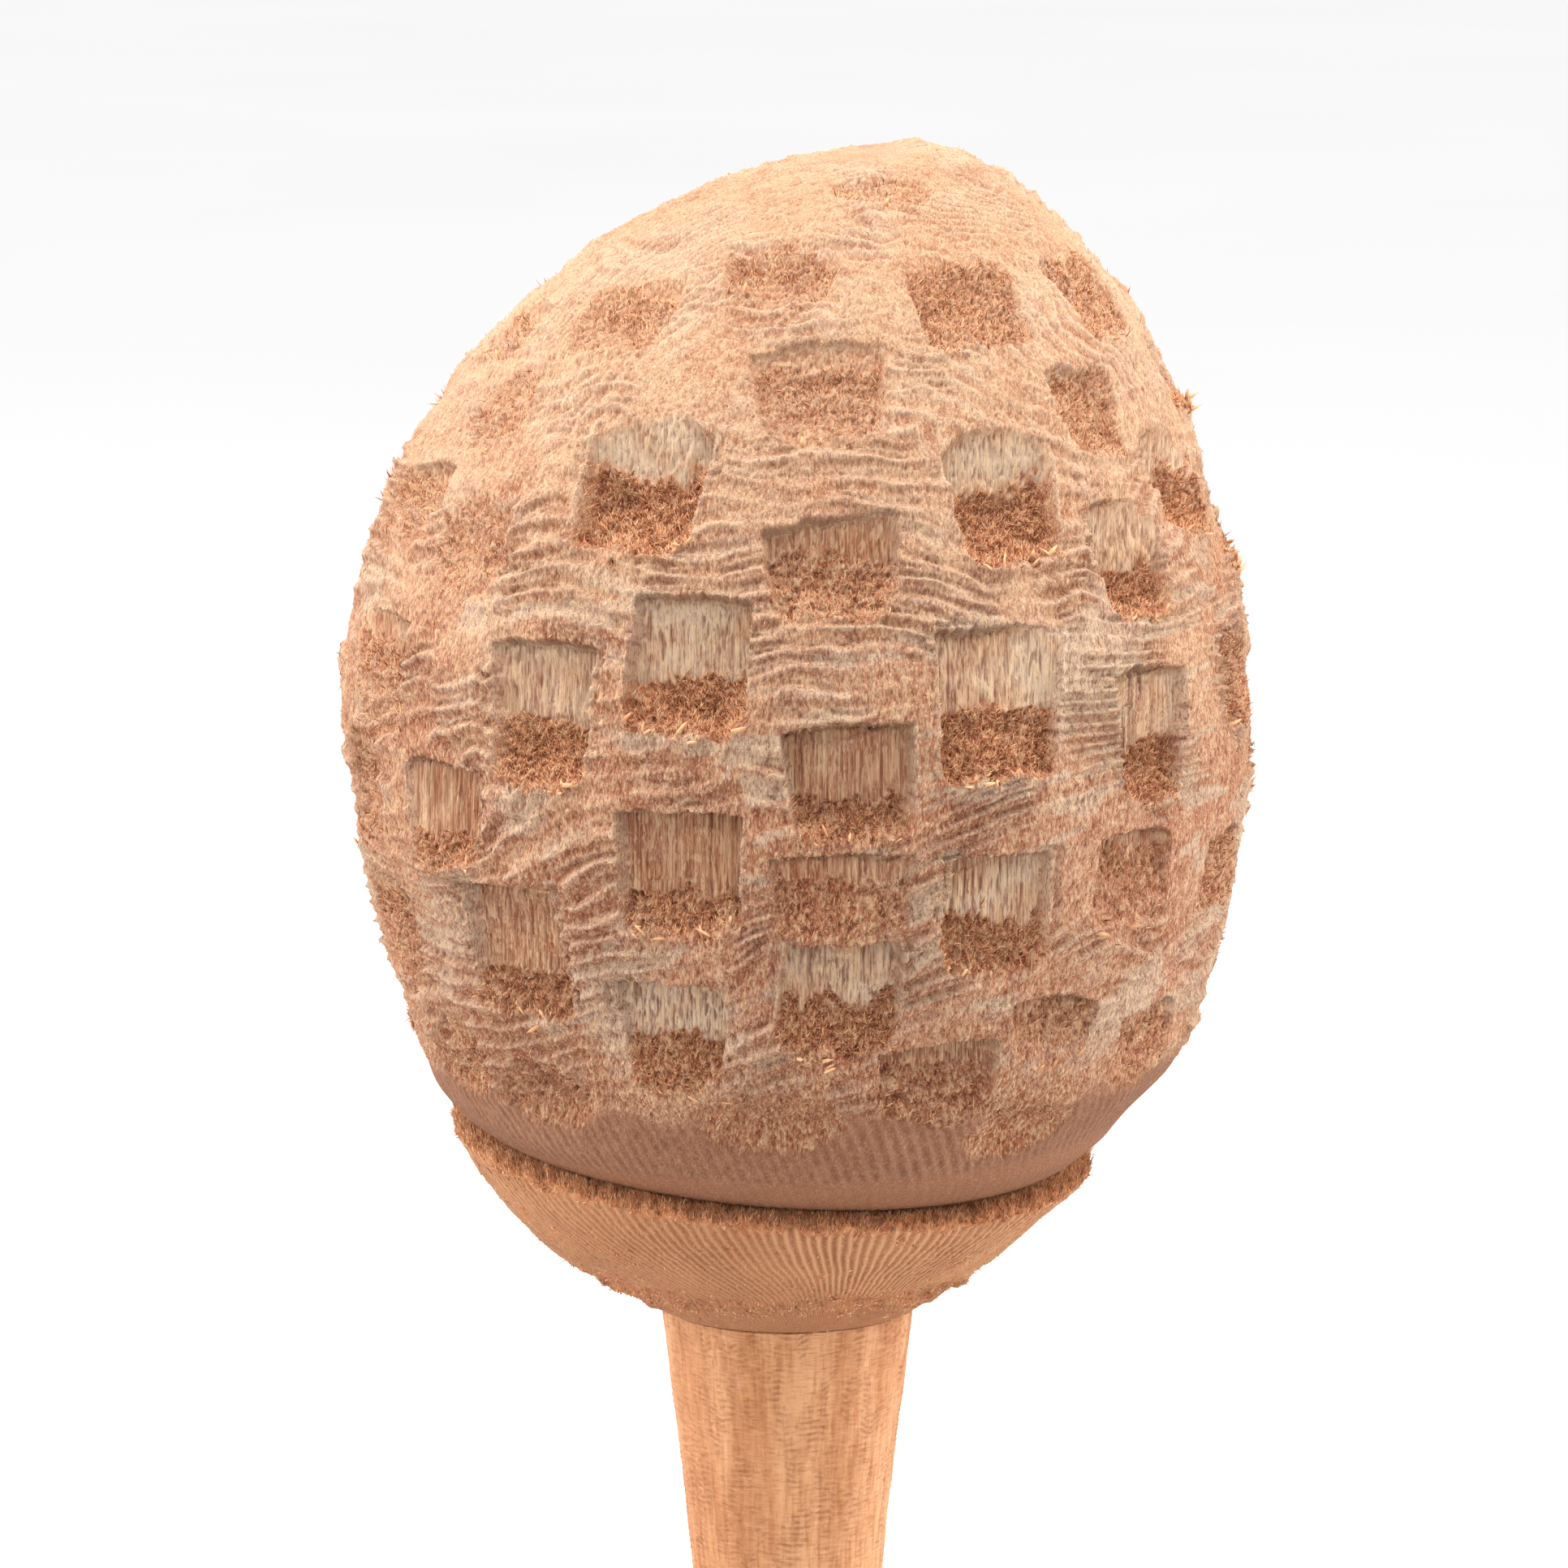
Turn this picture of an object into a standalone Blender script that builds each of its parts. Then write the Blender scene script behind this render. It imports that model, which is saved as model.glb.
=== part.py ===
"""A wooden mallet, standing on the butt of its handle: metres, +Z up, front towards -Y.

An egg-shaped head, chopped all over with small pits, sits on a bowl-shaped collar. The handle's
round tenon passes through the collar into a blind mortise in the head, where two fox wedges
spread it. The groove between the head and the collar lies on a slightly tilted plane.
"""

import math

import bmesh
import bpy
from mathutils import Matrix, Vector

MM = 0.001
GAP = 0.3 * MM  # between pieces that touch

# Handle
HANDLE_LENGTH = 130 * MM  # from the butt to the underside of the collar
BUTT_RADIUS = 12.6 * MM
PALM_RADIUS = 16.3 * MM
PALM_HEIGHT = 26 * MM
WAIST_RADIUS = 12.0 * MM
WAIST_HEIGHT = 80 * MM
SHOULDER_RADIUS = 16.8 * MM
TENON_RADIUS = 11.5 * MM
TENON_FLARE = 1.0 * MM  # how far the wedges spread the tenon's end
TENON_TOP = 208 * MM
FLARE_START = 172 * MM
HANDLE_STEPS = 40

# Fox wedges and the kerfs that they open
WEDGE_LENGTH = 32 * MM
WEDGE_THICK = 4.0 * MM
WEDGE_TIP = 1.0 * MM
WEDGE_WIDTH = 17 * MM
WEDGE_OFFSET = 4.6 * MM  # of each wedge from the axis
WEDGE_STANDS_OUT = 1.5 * MM

# Head
HEAD_RADIUS = 60 * MM
WIDEST_HEIGHT = 214 * MM
CROWN_REACH, CROWN_POWER = 70.5 * MM, 1.72
SKIRT_REACH, SKIRT_POWER = 79.6 * MM, 2.4
HEAD_TOP = 284 * MM
HEAD_SHIFT = 1.6 * MM  # the head's middle stands a little to +X of the handle's axis
LEAN_START, LEAN_REACH, LEAN = 240 * MM, 45 * MM, 10 * MM
LOW_PART = 172 * MM  # below it the head's middle moves over the groove's
HEAD_STEPS = 60
HEAD_RINGS = 22

# Groove and collar
GROOVE_HEIGHT = 154.4 * MM
GROOVE_RADIUS = 38.5 * MM
GROOVE_SHIFT = -2.2 * MM
FALLS_TO_RIGHT = math.tan(math.radians(4.4))
FALLS_TO_FRONT = math.tan(math.radians(3.3))
LEVEL_ABOVE, LEVEL_BELOW = 200 * MM, 136 * MM  # beyond these heights no section is tilted
LIP_RADIUS, LIP_HEIGHT = 28.4 * MM, 135.8 * MM
SEAT_RADIUS = 17.6 * MM
COLLAR_STEPS = 56

# Pits: a chisel's chop from above, with an upright floor and a torn slope below it
PIT_PROUD = 5 * MM  # how far a cutter stands out of the surface
FLOOR_SHARE = 0.55  # of the pit's height that is upright floor
# degrees to the right of the front, height, width and height of the pit, and depth, in mm
FRONT_PITS = (
    (8, 281, 13, 8, 1.5), (-14, 272, 15, 12, 2.5), (29, 268, 15, 14, 3.0),
    (-42, 266, 16, 13, 3.0), (-76, 263, 14, 10, 2.0), (61, 267, 12, 13, 2.5),
    (1, 258, 17, 15, 3.5), (-58, 254, 14, 12, 2.0), (48, 254, 11, 11, 2.5),
    (-23, 247, 17, 19, 4.5), (29, 245, 16, 19, 4.5), (67, 244, 15, 15, 2.5),
    (-68, 241, 16, 11, 2.0), (-48, 237, 14, 14, 2.0), (4, 237, 17, 12, 3.0),
    (49, 236, 13, 15, 3.5), (-14, 225, 16, 18, 4.5), (-34, 218, 15, 19, 4.5),
    (25, 220, 17, 19, 3.5), (48, 214, 13, 17, 4.0), (-66, 219, 16, 17, 2.5),
    (72, 218, 14, 13, 2.5), (6, 211, 16, 15, 4.5), (-50, 203, 14, 14, 3.5),
    (-72, 203, 14, 15, 2.5), (-15, 199, 16, 16, 3.5), (25, 193, 15, 16, 3.5),
    (46, 195, 14, 13, 3.0), (70, 193, 14, 10, 2.5), (-69, 184, 16, 16, 2.5),
    (-40, 186, 16, 18, 3.5), (5, 196, 17, 11, 2.0), (5, 182, 13, 14, 3.0),
    (-17, 177, 14, 15, 2.5), (36, 176, 13, 10, 2.0), (56, 171, 14, 12, 2.0),
    (-57, 169, 14, 12, 2.0), (19, 170, 16, 12, 2.5), (-38, 166, 16, 10, 2.5),
    (-3, 165, 18, 10, 2.0), (36, 162, 16, 10, 2.5),
)
# the rest of the head, in staggered columns: pit heights of the even and the odd columns, in mm
BACK_COLUMNS = tuple(range(88, 286, 20))
EVEN_HEIGHTS = (258, 236, 211, 187, 166)
ODD_HEIGHTS = (248, 223, 199, 176)
CROWN_PITS = (100, 140, 180, 220, 260)  # degrees, of the ring of small pits near the top
CROWN_PIT_HEIGHT = 269

WOOD_COLOURS = {
    "striking_head": (0.62, 0.40, 0.25, 1.0),
    "head_collar": (0.58, 0.34, 0.19, 1.0),
    "handle": (0.72, 0.45, 0.25, 1.0),
    "fox_wedge_left": (0.50, 0.30, 0.17, 1.0),
    "fox_wedge_right": (0.50, 0.30, 0.17, 1.0),
}


def head_radius(z):
    """The egg's radius at a height: one curve above its widest ring and a fuller one below."""
    if z >= WIDEST_HEIGHT:
        share = ((z - WIDEST_HEIGHT) / CROWN_REACH) ** CROWN_POWER
    else:
        share = ((WIDEST_HEIGHT - z) / SKIRT_REACH) ** SKIRT_POWER
    return HEAD_RADIUS * math.sqrt(max(0.0, 1 - share))


def head_middle(z):
    """X of the middle of the head's section at a height: the crown leans to +X."""
    rise = max(0.0, z - LEAN_START) / LEAN_REACH
    fall = min(1.0, max(0.0, (LOW_PART - z) / (LOW_PART - GROOVE_HEIGHT)))
    return HEAD_SHIFT + LEAN * rise**2 + (GROOVE_SHIFT - HEAD_SHIFT) * fall


def collar_middle(z):
    """X of the middle of the collar's section: on the handle's axis below, the groove's above."""
    share = (z - HANDLE_LENGTH) / (GROOVE_HEIGHT - HANDLE_LENGTH)
    return GROOVE_SHIFT * min(1.0, max(0.0, share))


def tilt_share(z):
    """How much of the groove's tilt a section takes: all of it at the groove, none far away."""
    if z >= GROOVE_HEIGHT:
        share = (LEVEL_ABOVE - z) / (LEVEL_ABOVE - GROOVE_HEIGHT)
    else:
        share = (z - LEVEL_BELOW) / (GROOVE_HEIGHT - LEVEL_BELOW)
    share = min(1.0, max(0.0, share))
    return share * share * (3 - 2 * share)


def section_point(angle, radius, z, middle):
    """The point of a section at an angle from the front, in radians, towards +X."""
    x = middle + radius * math.sin(angle)
    y = -radius * math.cos(angle)
    return Vector((x, y, z + tilt_share(z) * (y * FALLS_TO_FRONT - x * FALLS_TO_RIGHT)))


def new_object(name, mesh, collection):
    made = bpy.data.objects.new(name, mesh)
    collection.objects.link(made)
    return made


def loft(name, sections, steps, closed, collection):
    """A solid through tilted sections, each (radius, height, middle): a ring if it is closed."""
    shape = bmesh.new()
    rings = []
    for radius, z, middle in sections:
        angles = (2 * math.pi * i / steps for i in range(steps))
        rings.append([shape.verts.new(section_point(a, radius, z, middle)) for a in angles])
    pairs = list(zip(rings, rings[1:]))
    if closed:
        pairs.append((rings[-1], rings[0]))
    else:
        shape.faces.new(rings[0])
        shape.faces.new(rings[-1])
    for lower, upper in pairs:
        for i in range(steps):
            j = (i + 1) % steps
            shape.faces.new((lower[i], lower[j], upper[j], upper[i]))
    bmesh.ops.recalc_face_normals(shape, faces=shape.faces)
    mesh = bpy.data.meshes.new(name)
    shape.to_mesh(mesh)
    shape.free()
    return new_object(name, mesh, collection)


def turned(name, profile, steps, collection):
    """A solid of revolution about Z. The profile is (radius, height) from its top to its foot."""
    mesh = bpy.data.meshes.new(name)
    edges = [(i, i + 1) for i in range(len(profile) - 1)]
    mesh.from_pydata([(radius, 0, z) for radius, z in profile], edges, [])
    made = new_object(name, mesh, collection)
    screw = made.modifiers.new("turn", "SCREW")
    screw.axis = "Z"
    screw.steps = steps
    screw.render_steps = steps
    screw.use_merge_vertices = True
    screw.merge_threshold = 0.00001
    return made


def tapered_box(name, width, depths, heights, collection):
    """A box whose two X faces differ: depths and heights are ((low, high) at -X, (low, high) at +X).

    Width runs along Y, depths are the X places of the two faces' lower and upper edges, and
    heights their Z places.
    """
    shape = bmesh.new()
    bmesh.ops.create_cube(shape, size=1)
    for vert in shape.verts:
        face = 0 if vert.co.x < 0 else 1
        edge = 0 if vert.co.z < 0 else 1
        vert.co = (depths[face][edge], math.copysign(width / 2, vert.co.y), heights[face][edge])
    mesh = bpy.data.meshes.new(name)
    shape.to_mesh(mesh)
    shape.free()
    return new_object(name, mesh, collection)


def cut(target, cutter, name):
    boolean = target.modifiers.new(name, "BOOLEAN")
    boolean.operation = "DIFFERENCE"
    boolean.solver = "EXACT"
    boolean.object = cutter


def as_helper(thing):
    thing.hide_render = True
    thing.display_type = "WIRE"
    return thing


def paint(thing):
    material = bpy.data.materials.new(thing.name)
    material.use_nodes = True
    shader = material.node_tree.nodes["Principled BSDF"]
    shader.inputs["Base Color"].default_value = WOOD_COLOURS[thing.name]
    shader.inputs["Roughness"].default_value = 0.85
    shader.inputs["Metallic"].default_value = 0.0
    thing.data.materials.append(material)


def tenon_radius(z):
    share = max(0.0, (z - FLARE_START) / (TENON_TOP - FLARE_START))
    return TENON_RADIUS + TENON_FLARE * share


def handle_radius(z):
    """The turned handle below the shoulder: round end, palm swell, waist and taper to the head."""
    if z >= WAIST_HEIGHT:
        share = (z - WAIST_HEIGHT) / (HANDLE_LENGTH - WAIST_HEIGHT)
        return WAIST_RADIUS + (SHOULDER_RADIUS - WAIST_RADIUS) * share**1.3
    if z >= PALM_HEIGHT:
        share = (WAIST_HEIGHT - z) / (WAIST_HEIGHT - PALM_HEIGHT)
        return WAIST_RADIUS + (PALM_RADIUS - WAIST_RADIUS) * math.sin(math.pi / 2 * share) ** 2
    share = (PALM_HEIGHT - z) / PALM_HEIGHT
    return BUTT_RADIUS + (PALM_RADIUS - BUTT_RADIUS) * math.sqrt(max(0.0, 1 - share**4))


def make_handle(parts, cutters):
    shoulder = HANDLE_LENGTH - GAP
    heights = [shoulder - (shoulder - PALM_HEIGHT) * i / 14 for i in range(15)]
    heights += [PALM_HEIGHT * share for share in (0.6, 0.35, 0.18, 0.07, 0.0)]
    profile = [(0, TENON_TOP)]
    profile += [(tenon_radius(z), z) for z in (TENON_TOP, FLARE_START, shoulder)]
    profile += [(handle_radius(z), z) for z in heights]
    profile += [(0, 0)]
    handle = turned("handle", profile, HANDLE_STEPS, parts)
    reach = WEDGE_LENGTH + WEDGE_STANDS_OUT
    wide = WEDGE_THICK / 2 + GAP
    narrow = WEDGE_TIP / 2 + GAP
    low = TENON_TOP + WEDGE_STANDS_OUT - reach - GAP
    high = TENON_TOP + WEDGE_STANDS_OUT
    for side, name in ((-1, "left"), (1, "right")):
        kerf = tapered_box(
            "kerf_cutter_" + name,
            2.5 * TENON_RADIUS,
            ((-narrow, -wide), (narrow, wide)),
            ((low, high), (low, high)),
            cutters,
        )
        kerf.location.x = side * WEDGE_OFFSET
        cut(handle, as_helper(kerf), "kerf_" + name)
    return handle


def make_wedge(name, side, parts):
    high = TENON_TOP + WEDGE_STANDS_OUT
    low = high - WEDGE_LENGTH
    thick = WEDGE_THICK / 2
    tip = WEDGE_TIP / 2
    wedge = tapered_box(
        name, WEDGE_WIDTH, ((-tip, -thick), (tip, thick)), ((low, high), (low, high)), parts
    )
    wedge.location.x = side * WEDGE_OFFSET
    return wedge


def make_mortise_cutter(name, foot, cutters):
    """The bore for the tenon: GAP wider all round, flared like it, and blind above the wedges."""
    top = TENON_TOP + WEDGE_STANDS_OUT + GAP
    profile = [(0, top)]
    profile += [(tenon_radius(z) + GAP, z) for z in (top, FLARE_START, foot)]
    profile += [(0, foot)]
    return as_helper(turned(name, profile, HANDLE_STEPS, cutters))


def make_collar(parts):
    """A bowl-shaped ring: its chamfered top edge is one wall of the groove."""
    top = GROOVE_HEIGHT - GAP / 2
    bore = TENON_RADIUS + GAP
    outline = [
        (bore, HANDLE_LENGTH),
        (SEAT_RADIUS, HANDLE_LENGTH),
        (22.4 * MM, 132.6 * MM),
        (LIP_RADIUS - 1.6 * MM, LIP_HEIGHT - 1.1 * MM),
        (LIP_RADIUS, LIP_HEIGHT),
        (31.6 * MM, 139.0 * MM),
        (35.8 * MM, 143.5 * MM),
        (39.6 * MM, 148.0 * MM),
        (42.7 * MM, 152.4 * MM),
        (GROOVE_RADIUS + 2.2 * MM, top - 0.9 * MM),
        (GROOVE_RADIUS, top),
        (bore, top),
    ]
    sections = []
    for radius, z in outline:
        middle = 0.0 if radius == bore else collar_middle(z)
        sections.append((radius, z, middle))
    return loft("head_collar", sections, COLLAR_STEPS, True, parts)


def make_head(parts, cutters, pits):
    foot = GROOVE_HEIGHT + GAP / 2
    groove_side = ((0, 0), (2.2, 0.8), (4.2, 2.0), (5.9, 3.8))
    sections = []
    for out, up in groove_side:
        z = foot + up * MM
        sections.append((GROOVE_RADIUS + out * MM, z, head_middle(z)))
    first = foot + 8 * MM
    low = math.asin((WIDEST_HEIGHT - first) / SKIRT_REACH)
    high = math.asin((HEAD_TOP - WIDEST_HEIGHT) / CROWN_REACH)
    for i in range(HEAD_RINGS):
        angle = -low + (high + low) * i / (HEAD_RINGS - 1)
        reach = CROWN_REACH if angle > 0 else SKIRT_REACH
        z = WIDEST_HEIGHT + reach * math.sin(angle)
        sections.append((head_radius(z), z, head_middle(z)))
    head = loft("striking_head", sections, HEAD_STEPS, False, parts)
    cut(head, make_mortise_cutter("mortise_cutter", HANDLE_LENGTH, cutters), "mortise")
    chopped = head.modifiers.new("pits", "BOOLEAN")
    chopped.operation = "DIFFERENCE"
    chopped.solver = "EXACT"
    chopped.operand_type = "COLLECTION"
    chopped.collection = pits
    return head


def pit_places():
    places = list(FRONT_PITS)
    for column, azimuth in enumerate(BACK_COLUMNS):
        heights = ODD_HEIGHTS if column % 2 else EVEN_HEIGHTS
        for row, z in enumerate(heights):
            wander = math.sin(2.7 * column + 1.9 * row)
            width = min(16, 0.3 * head_radius(z * MM) / MM) + wander
            places.append((azimuth + 2 * wander, z + 1.5 * wander, width, 15 - wander, 3.2 + wander))
    for azimuth in CROWN_PITS:
        places.append((azimuth, CROWN_PIT_HEIGHT, 11, 11, 2.4))
    return places


def make_pit_cutter(number, place, pits):
    """A wedge-shaped cutter set against the surface: -X of its own frame points into the wood."""
    azimuth, z, width, height, depth = place
    azimuth = math.radians(azimuth)
    z *= MM
    half = height * MM / 2
    depth *= MM
    floor_foot = half - 2 * half * FLOOR_SHARE
    slope = (floor_foot + half) / depth
    cutter = tapered_box(
        f"pit_cutter_{number:03d}",
        width * MM,
        ((-depth, -depth), (PIT_PROUD, PIT_PROUD)),
        ((floor_foot, half), (-half - slope * PIT_PROUD, half + 0.2 * PIT_PROUD)),
        pits,
    )
    step = 0.5 * MM
    rise = section_point(azimuth, head_radius(z + step), z + step, head_middle(z + step))
    fall = section_point(azimuth, head_radius(z - step), z - step, head_middle(z - step))
    up = (rise - fall).normalized()
    across = Vector((math.cos(azimuth), math.sin(azimuth), 0))
    out = across.cross(up).normalized()
    across = up.cross(out)
    turn = Matrix((out, across, up)).transposed().to_4x4()
    middle = section_point(azimuth, head_radius(z), z, head_middle(z))
    cutter.matrix_world = Matrix.Translation(middle) @ turn
    return as_helper(cutter)


def new_collection(name, parent):
    made = bpy.data.collections.new(name)
    parent.children.link(made)
    return made


def main():
    for thing in list(bpy.data.objects):
        bpy.data.objects.remove(thing, do_unlink=True)
    scene_root = bpy.context.scene.collection
    parts = new_collection("wooden_mallet", scene_root)
    cutters = new_collection("cutters", scene_root)
    pits = new_collection("pit_cutters", cutters)
    for number, place in enumerate(pit_places()):
        make_pit_cutter(number, place, pits)
    made = [
        make_head(parts, cutters, pits),
        make_collar(parts),
        make_handle(parts, cutters),
        make_wedge("fox_wedge_left", -1, parts),
        make_wedge("fox_wedge_right", 1, parts),
    ]
    for piece in made:
        paint(piece)
    for piece in made[1:3]:
        piece.data.shade_smooth()
        piece.data.set_sharp_from_angle(angle=math.radians(30))


main()
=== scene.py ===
"""The looks of a rough-carved wooden mallet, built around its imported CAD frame.

The head, the collar and the handle are fine meshes made by displacing sections in numpy. Work
lengths are millimetres; meshes are written in metres. The front is towards -Y.
"""

import math

import bpy
import numpy as np
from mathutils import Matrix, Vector


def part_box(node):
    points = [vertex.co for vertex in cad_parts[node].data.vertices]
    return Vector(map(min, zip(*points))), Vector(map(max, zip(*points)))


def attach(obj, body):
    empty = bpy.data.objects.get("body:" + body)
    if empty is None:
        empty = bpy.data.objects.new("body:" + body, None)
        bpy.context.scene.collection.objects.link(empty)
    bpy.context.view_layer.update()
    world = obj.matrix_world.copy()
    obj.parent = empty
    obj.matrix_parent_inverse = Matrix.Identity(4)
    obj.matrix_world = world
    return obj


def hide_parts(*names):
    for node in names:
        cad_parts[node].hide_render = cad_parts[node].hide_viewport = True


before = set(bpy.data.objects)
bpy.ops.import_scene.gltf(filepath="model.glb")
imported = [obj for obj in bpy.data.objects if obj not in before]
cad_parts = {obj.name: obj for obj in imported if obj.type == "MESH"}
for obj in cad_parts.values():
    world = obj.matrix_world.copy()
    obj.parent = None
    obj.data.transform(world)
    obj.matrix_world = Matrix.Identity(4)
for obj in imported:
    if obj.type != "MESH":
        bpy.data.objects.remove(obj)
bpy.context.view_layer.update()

MM = 0.001


def box_mm(node):
    low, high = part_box(node)
    return np.array(low) / MM, np.array(high) / MM


# Heights and sizes that the frame gives
BUTT_HEIGHT = box_mm("handle")[0][2]
TENON_TOP = box_mm("handle")[1][2]
SHOULDER_HEIGHT = box_mm("head_collar")[0][2]
HEAD_TOP = box_mm("striking_head")[1][2]
WEDGE_TOP = box_mm("fox_wedge_left")[1][2]

# The egg-shaped head, as the CAD has it
HEAD_RADIUS = 60.0
WIDEST_HEIGHT = HEAD_TOP - 70.0
CROWN_REACH, CROWN_POWER = 70.5, 1.72
SKIRT_REACH, SKIRT_POWER = 79.6, 2.4
HEAD_SHIFT = 1.6
LEAN_START, LEAN_REACH, LEAN = HEAD_TOP - 44.0, 45.0, 10.0

# The groove's tilted plane and the collar below it
GROOVE_HEIGHT = SHOULDER_HEIGHT + 24.4
GROOVE_RADIUS = 38.5
GROOVE_SHIFT = -2.2
LOW_PART = GROOVE_HEIGHT + 17.6
FALLS_TO_RIGHT = math.tan(math.radians(4.4))
FALLS_TO_FRONT = math.tan(math.radians(3.3))
LEVEL_ABOVE, LEVEL_BELOW = SHOULDER_HEIGHT + 70.0, SHOULDER_HEIGHT + 6.0
GAP = 0.3

# The growth rings stand upright, and this is across them: towards the front, a little to +X
ACROSS_RINGS = np.array((0.17, -0.985, 0.0))

# Lines in the wood: how many go round the band above the groove, and the others' spacing. A
# terrace peaks at a share of its step, and the collar's lines fan out from an angle.
BAND_LINES = 190
TERRACE_STEP, TERRACE_PEAK = 2.9, 0.78
RIPPLE_STEP = 1.35
RING_STEP = 1.5
COLLAR_STEP, COLLAR_RADIUS, COLLAR_FAN_ANGLE = 1.50, 41, 0.30
CHATTER_STEP = 0.85

# The groove's upper wall: where it starts, how far it rises, and its curve as shares out and up
GROOVE_FOOT, GROOVE_WALL = 40.2, 3.4
GROOVE_CURVE = ((0, 0), (0.22, 0.14), (0.48, 0.38), (0.74, 0.68), (1.0, 1.0))

# The handle and its tenon
TENON_RADIUS, TENON_FLARE = 11.5, 1.0
FLARE_START = TENON_TOP - 36.0
BUTT_RADIUS, PALM_RADIUS, WAIST_RADIUS, NECK_RADIUS = 12.6, 16.3, 12.0, 16.8
PALM_HEIGHT, WAIST_HEIGHT = 26.0, 80.0

# Pits: degrees to the right of the front, height, width, pit height, depth, tilt in degrees, kind.
# Kinds: s is a square chop, b one with a brown floor, a one with an arched top, n a notch with a
# long slope, m a notch with an upright brown floor, f a square that is torn all over, o a scoop.
FRONT_PITS = (
    (8, 281, 15, 8, 1.2, 0, "o"), (-14, 272, 15, 12, 2.5, 8, "n"), (29, 268, 16, 15, 2.2, 0, "f"),
    (-42, 266, 16, 13, 2.6, 12, "n"), (-76, 263, 14, 10, 2.0, 0, "n"),
    (61, 267, 12, 13, 2.2, -8, "f"), (1, 258, 17, 15, 3.2, 6, "n"),
    (-58, 254, 14, 12, 1.6, 0, "o"), (48, 254, 11, 12, 2.3, -6, "f"),
    (-23, 247, 17, 19, 4.2, 0, "a"), (29, 245, 15, 18, 4.4, 0, "a"),
    (67, 244, 15, 15, 2.8, -5, "a"), (-68, 241, 16, 11, 2.0, 10, "n"),
    (-48, 237, 14, 14, 1.4, 0, "o"), (4, 237, 17, 13, 3.7, 8, "m"), (49, 236, 13, 15, 3.2, 0, "s"),
    (-14, 225, 16, 18, 4.2, -2, "s"), (-34, 218, 15, 19, 4.4, 0, "s"),
    (25, 220, 17, 19, 3.3, -2, "s"), (48, 214, 13, 17, 3.8, 0, "s"),
    (-66, 219, 16, 17, 2.2, 0, "n"), (72, 218, 14, 13, 2.4, 0, "f"), (6, 211, 16, 15, 4.2, 2, "b"),
    (-50, 203, 14, 14, 3.0, 0, "b"), (-72, 203, 14, 15, 2.5, 0, "n"),
    (-15, 199, 16, 16, 3.6, 0, "b"), (25, 193, 15, 16, 3.3, 0, "s"),
    (46, 195, 14, 13, 2.6, 0, "n"), (70, 193, 14, 10, 2.3, 0, "f"),
    (-69, 184, 16, 16, 2.3, 0, "n"), (-40, 186, 16, 18, 3.9, 4, "b"),
    (5, 196, 18, 11, 1.8, 2, "m"), (5, 182.5, 16, 15.5, 2.8, 1, "s"),
    (-17, 177, 14, 15, 2.5, 0, "s"), (36, 176, 13, 10, 2.0, -6, "n"),
    (56, 171, 14, 12, 1.9, 0, "n"), (-57, 169, 14, 12, 1.6, 0, "o"),
    (19, 170, 16, 12, 2.4, 3, "m"), (-38, 166, 16, 10, 2.2, -12, "o"),
    (-3, 165, 18, 10, 1.8, 0, "o"), (36, 162, 16, 10, 2.0, 12, "o"),
)
BACK_COLUMNS = tuple(range(88, 286, 20))
EVEN_HEIGHTS = (258, 236, 211, 187, 166)
ODD_HEIGHTS = (248, 223, 199, 176)
BACK_KINDS = "sanfonsa"
CROWN_PITS = (100, 140, 180, 220, 260)
CROWN_PIT_HEIGHT = 269

# Slanted facets bound the crown on the right and on the left: facing, and distance along it
CROWN_FACETS = (
    (np.array((0.645, 0.0, 0.763)), 0.645 * 26.8 + 0.763 * (HEAD_TOP - 0.2)),
    (np.array((-0.44, 0.156, 0.884)), 0.44 * 5.6 + 0.884 * (HEAD_TOP - 2.2)),
)
# Where the head swells or is shaved beyond a round section: x, height, reach across and up, amount
LUMPS = (
    (60, 184, 15, 13, -1.5), (48, 157, 18, 6, -1.5), (-60, 218, 16, 14, 0.8),
    (-44, 257, 12, 8, -0.9), (-56, 184, 12, 8, -0.9), (40, 262, 12, 10, 0.5),
)

# Mesh fineness, and how many loose fibres there are
CELL = 0.25
HIDDEN_CELL = 3.0
FRONT_DENSER = 0.33
FIBRE_SHARE = 1.0
CRUMBS, BRISTLES, STUBBLE, SPLINTERS, GROOVE_FIBRES = 70000, 7000, 34000, 240, 24000
LONGEST_SPLINTER = 1.8

# How much brighter a surface looks under the studio light than its own colour
LIGHT_GAIN = 1.24

# The photo's viewpoint, in metres and degrees
CAMERA_AIM = (-0.0005, 0.0, 0.2003)
CAMERA_DISTANCE, CAMERA_ELEVATION = 0.9, 10.0
CAMERA_LENS, CAMERA_SENSOR = 156, 36


# ---- noise and small helpers

LATTICE_SIZE = 64
LATTICE = np.random.default_rng(5).random((LATTICE_SIZE,) * 3).astype(np.float32) * 2 - 1
TURN = np.array(((0.80, 0.48, -0.36), (-0.60, 0.64, -0.48), (0.0, 0.60, 0.80)), np.float32)


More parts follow.
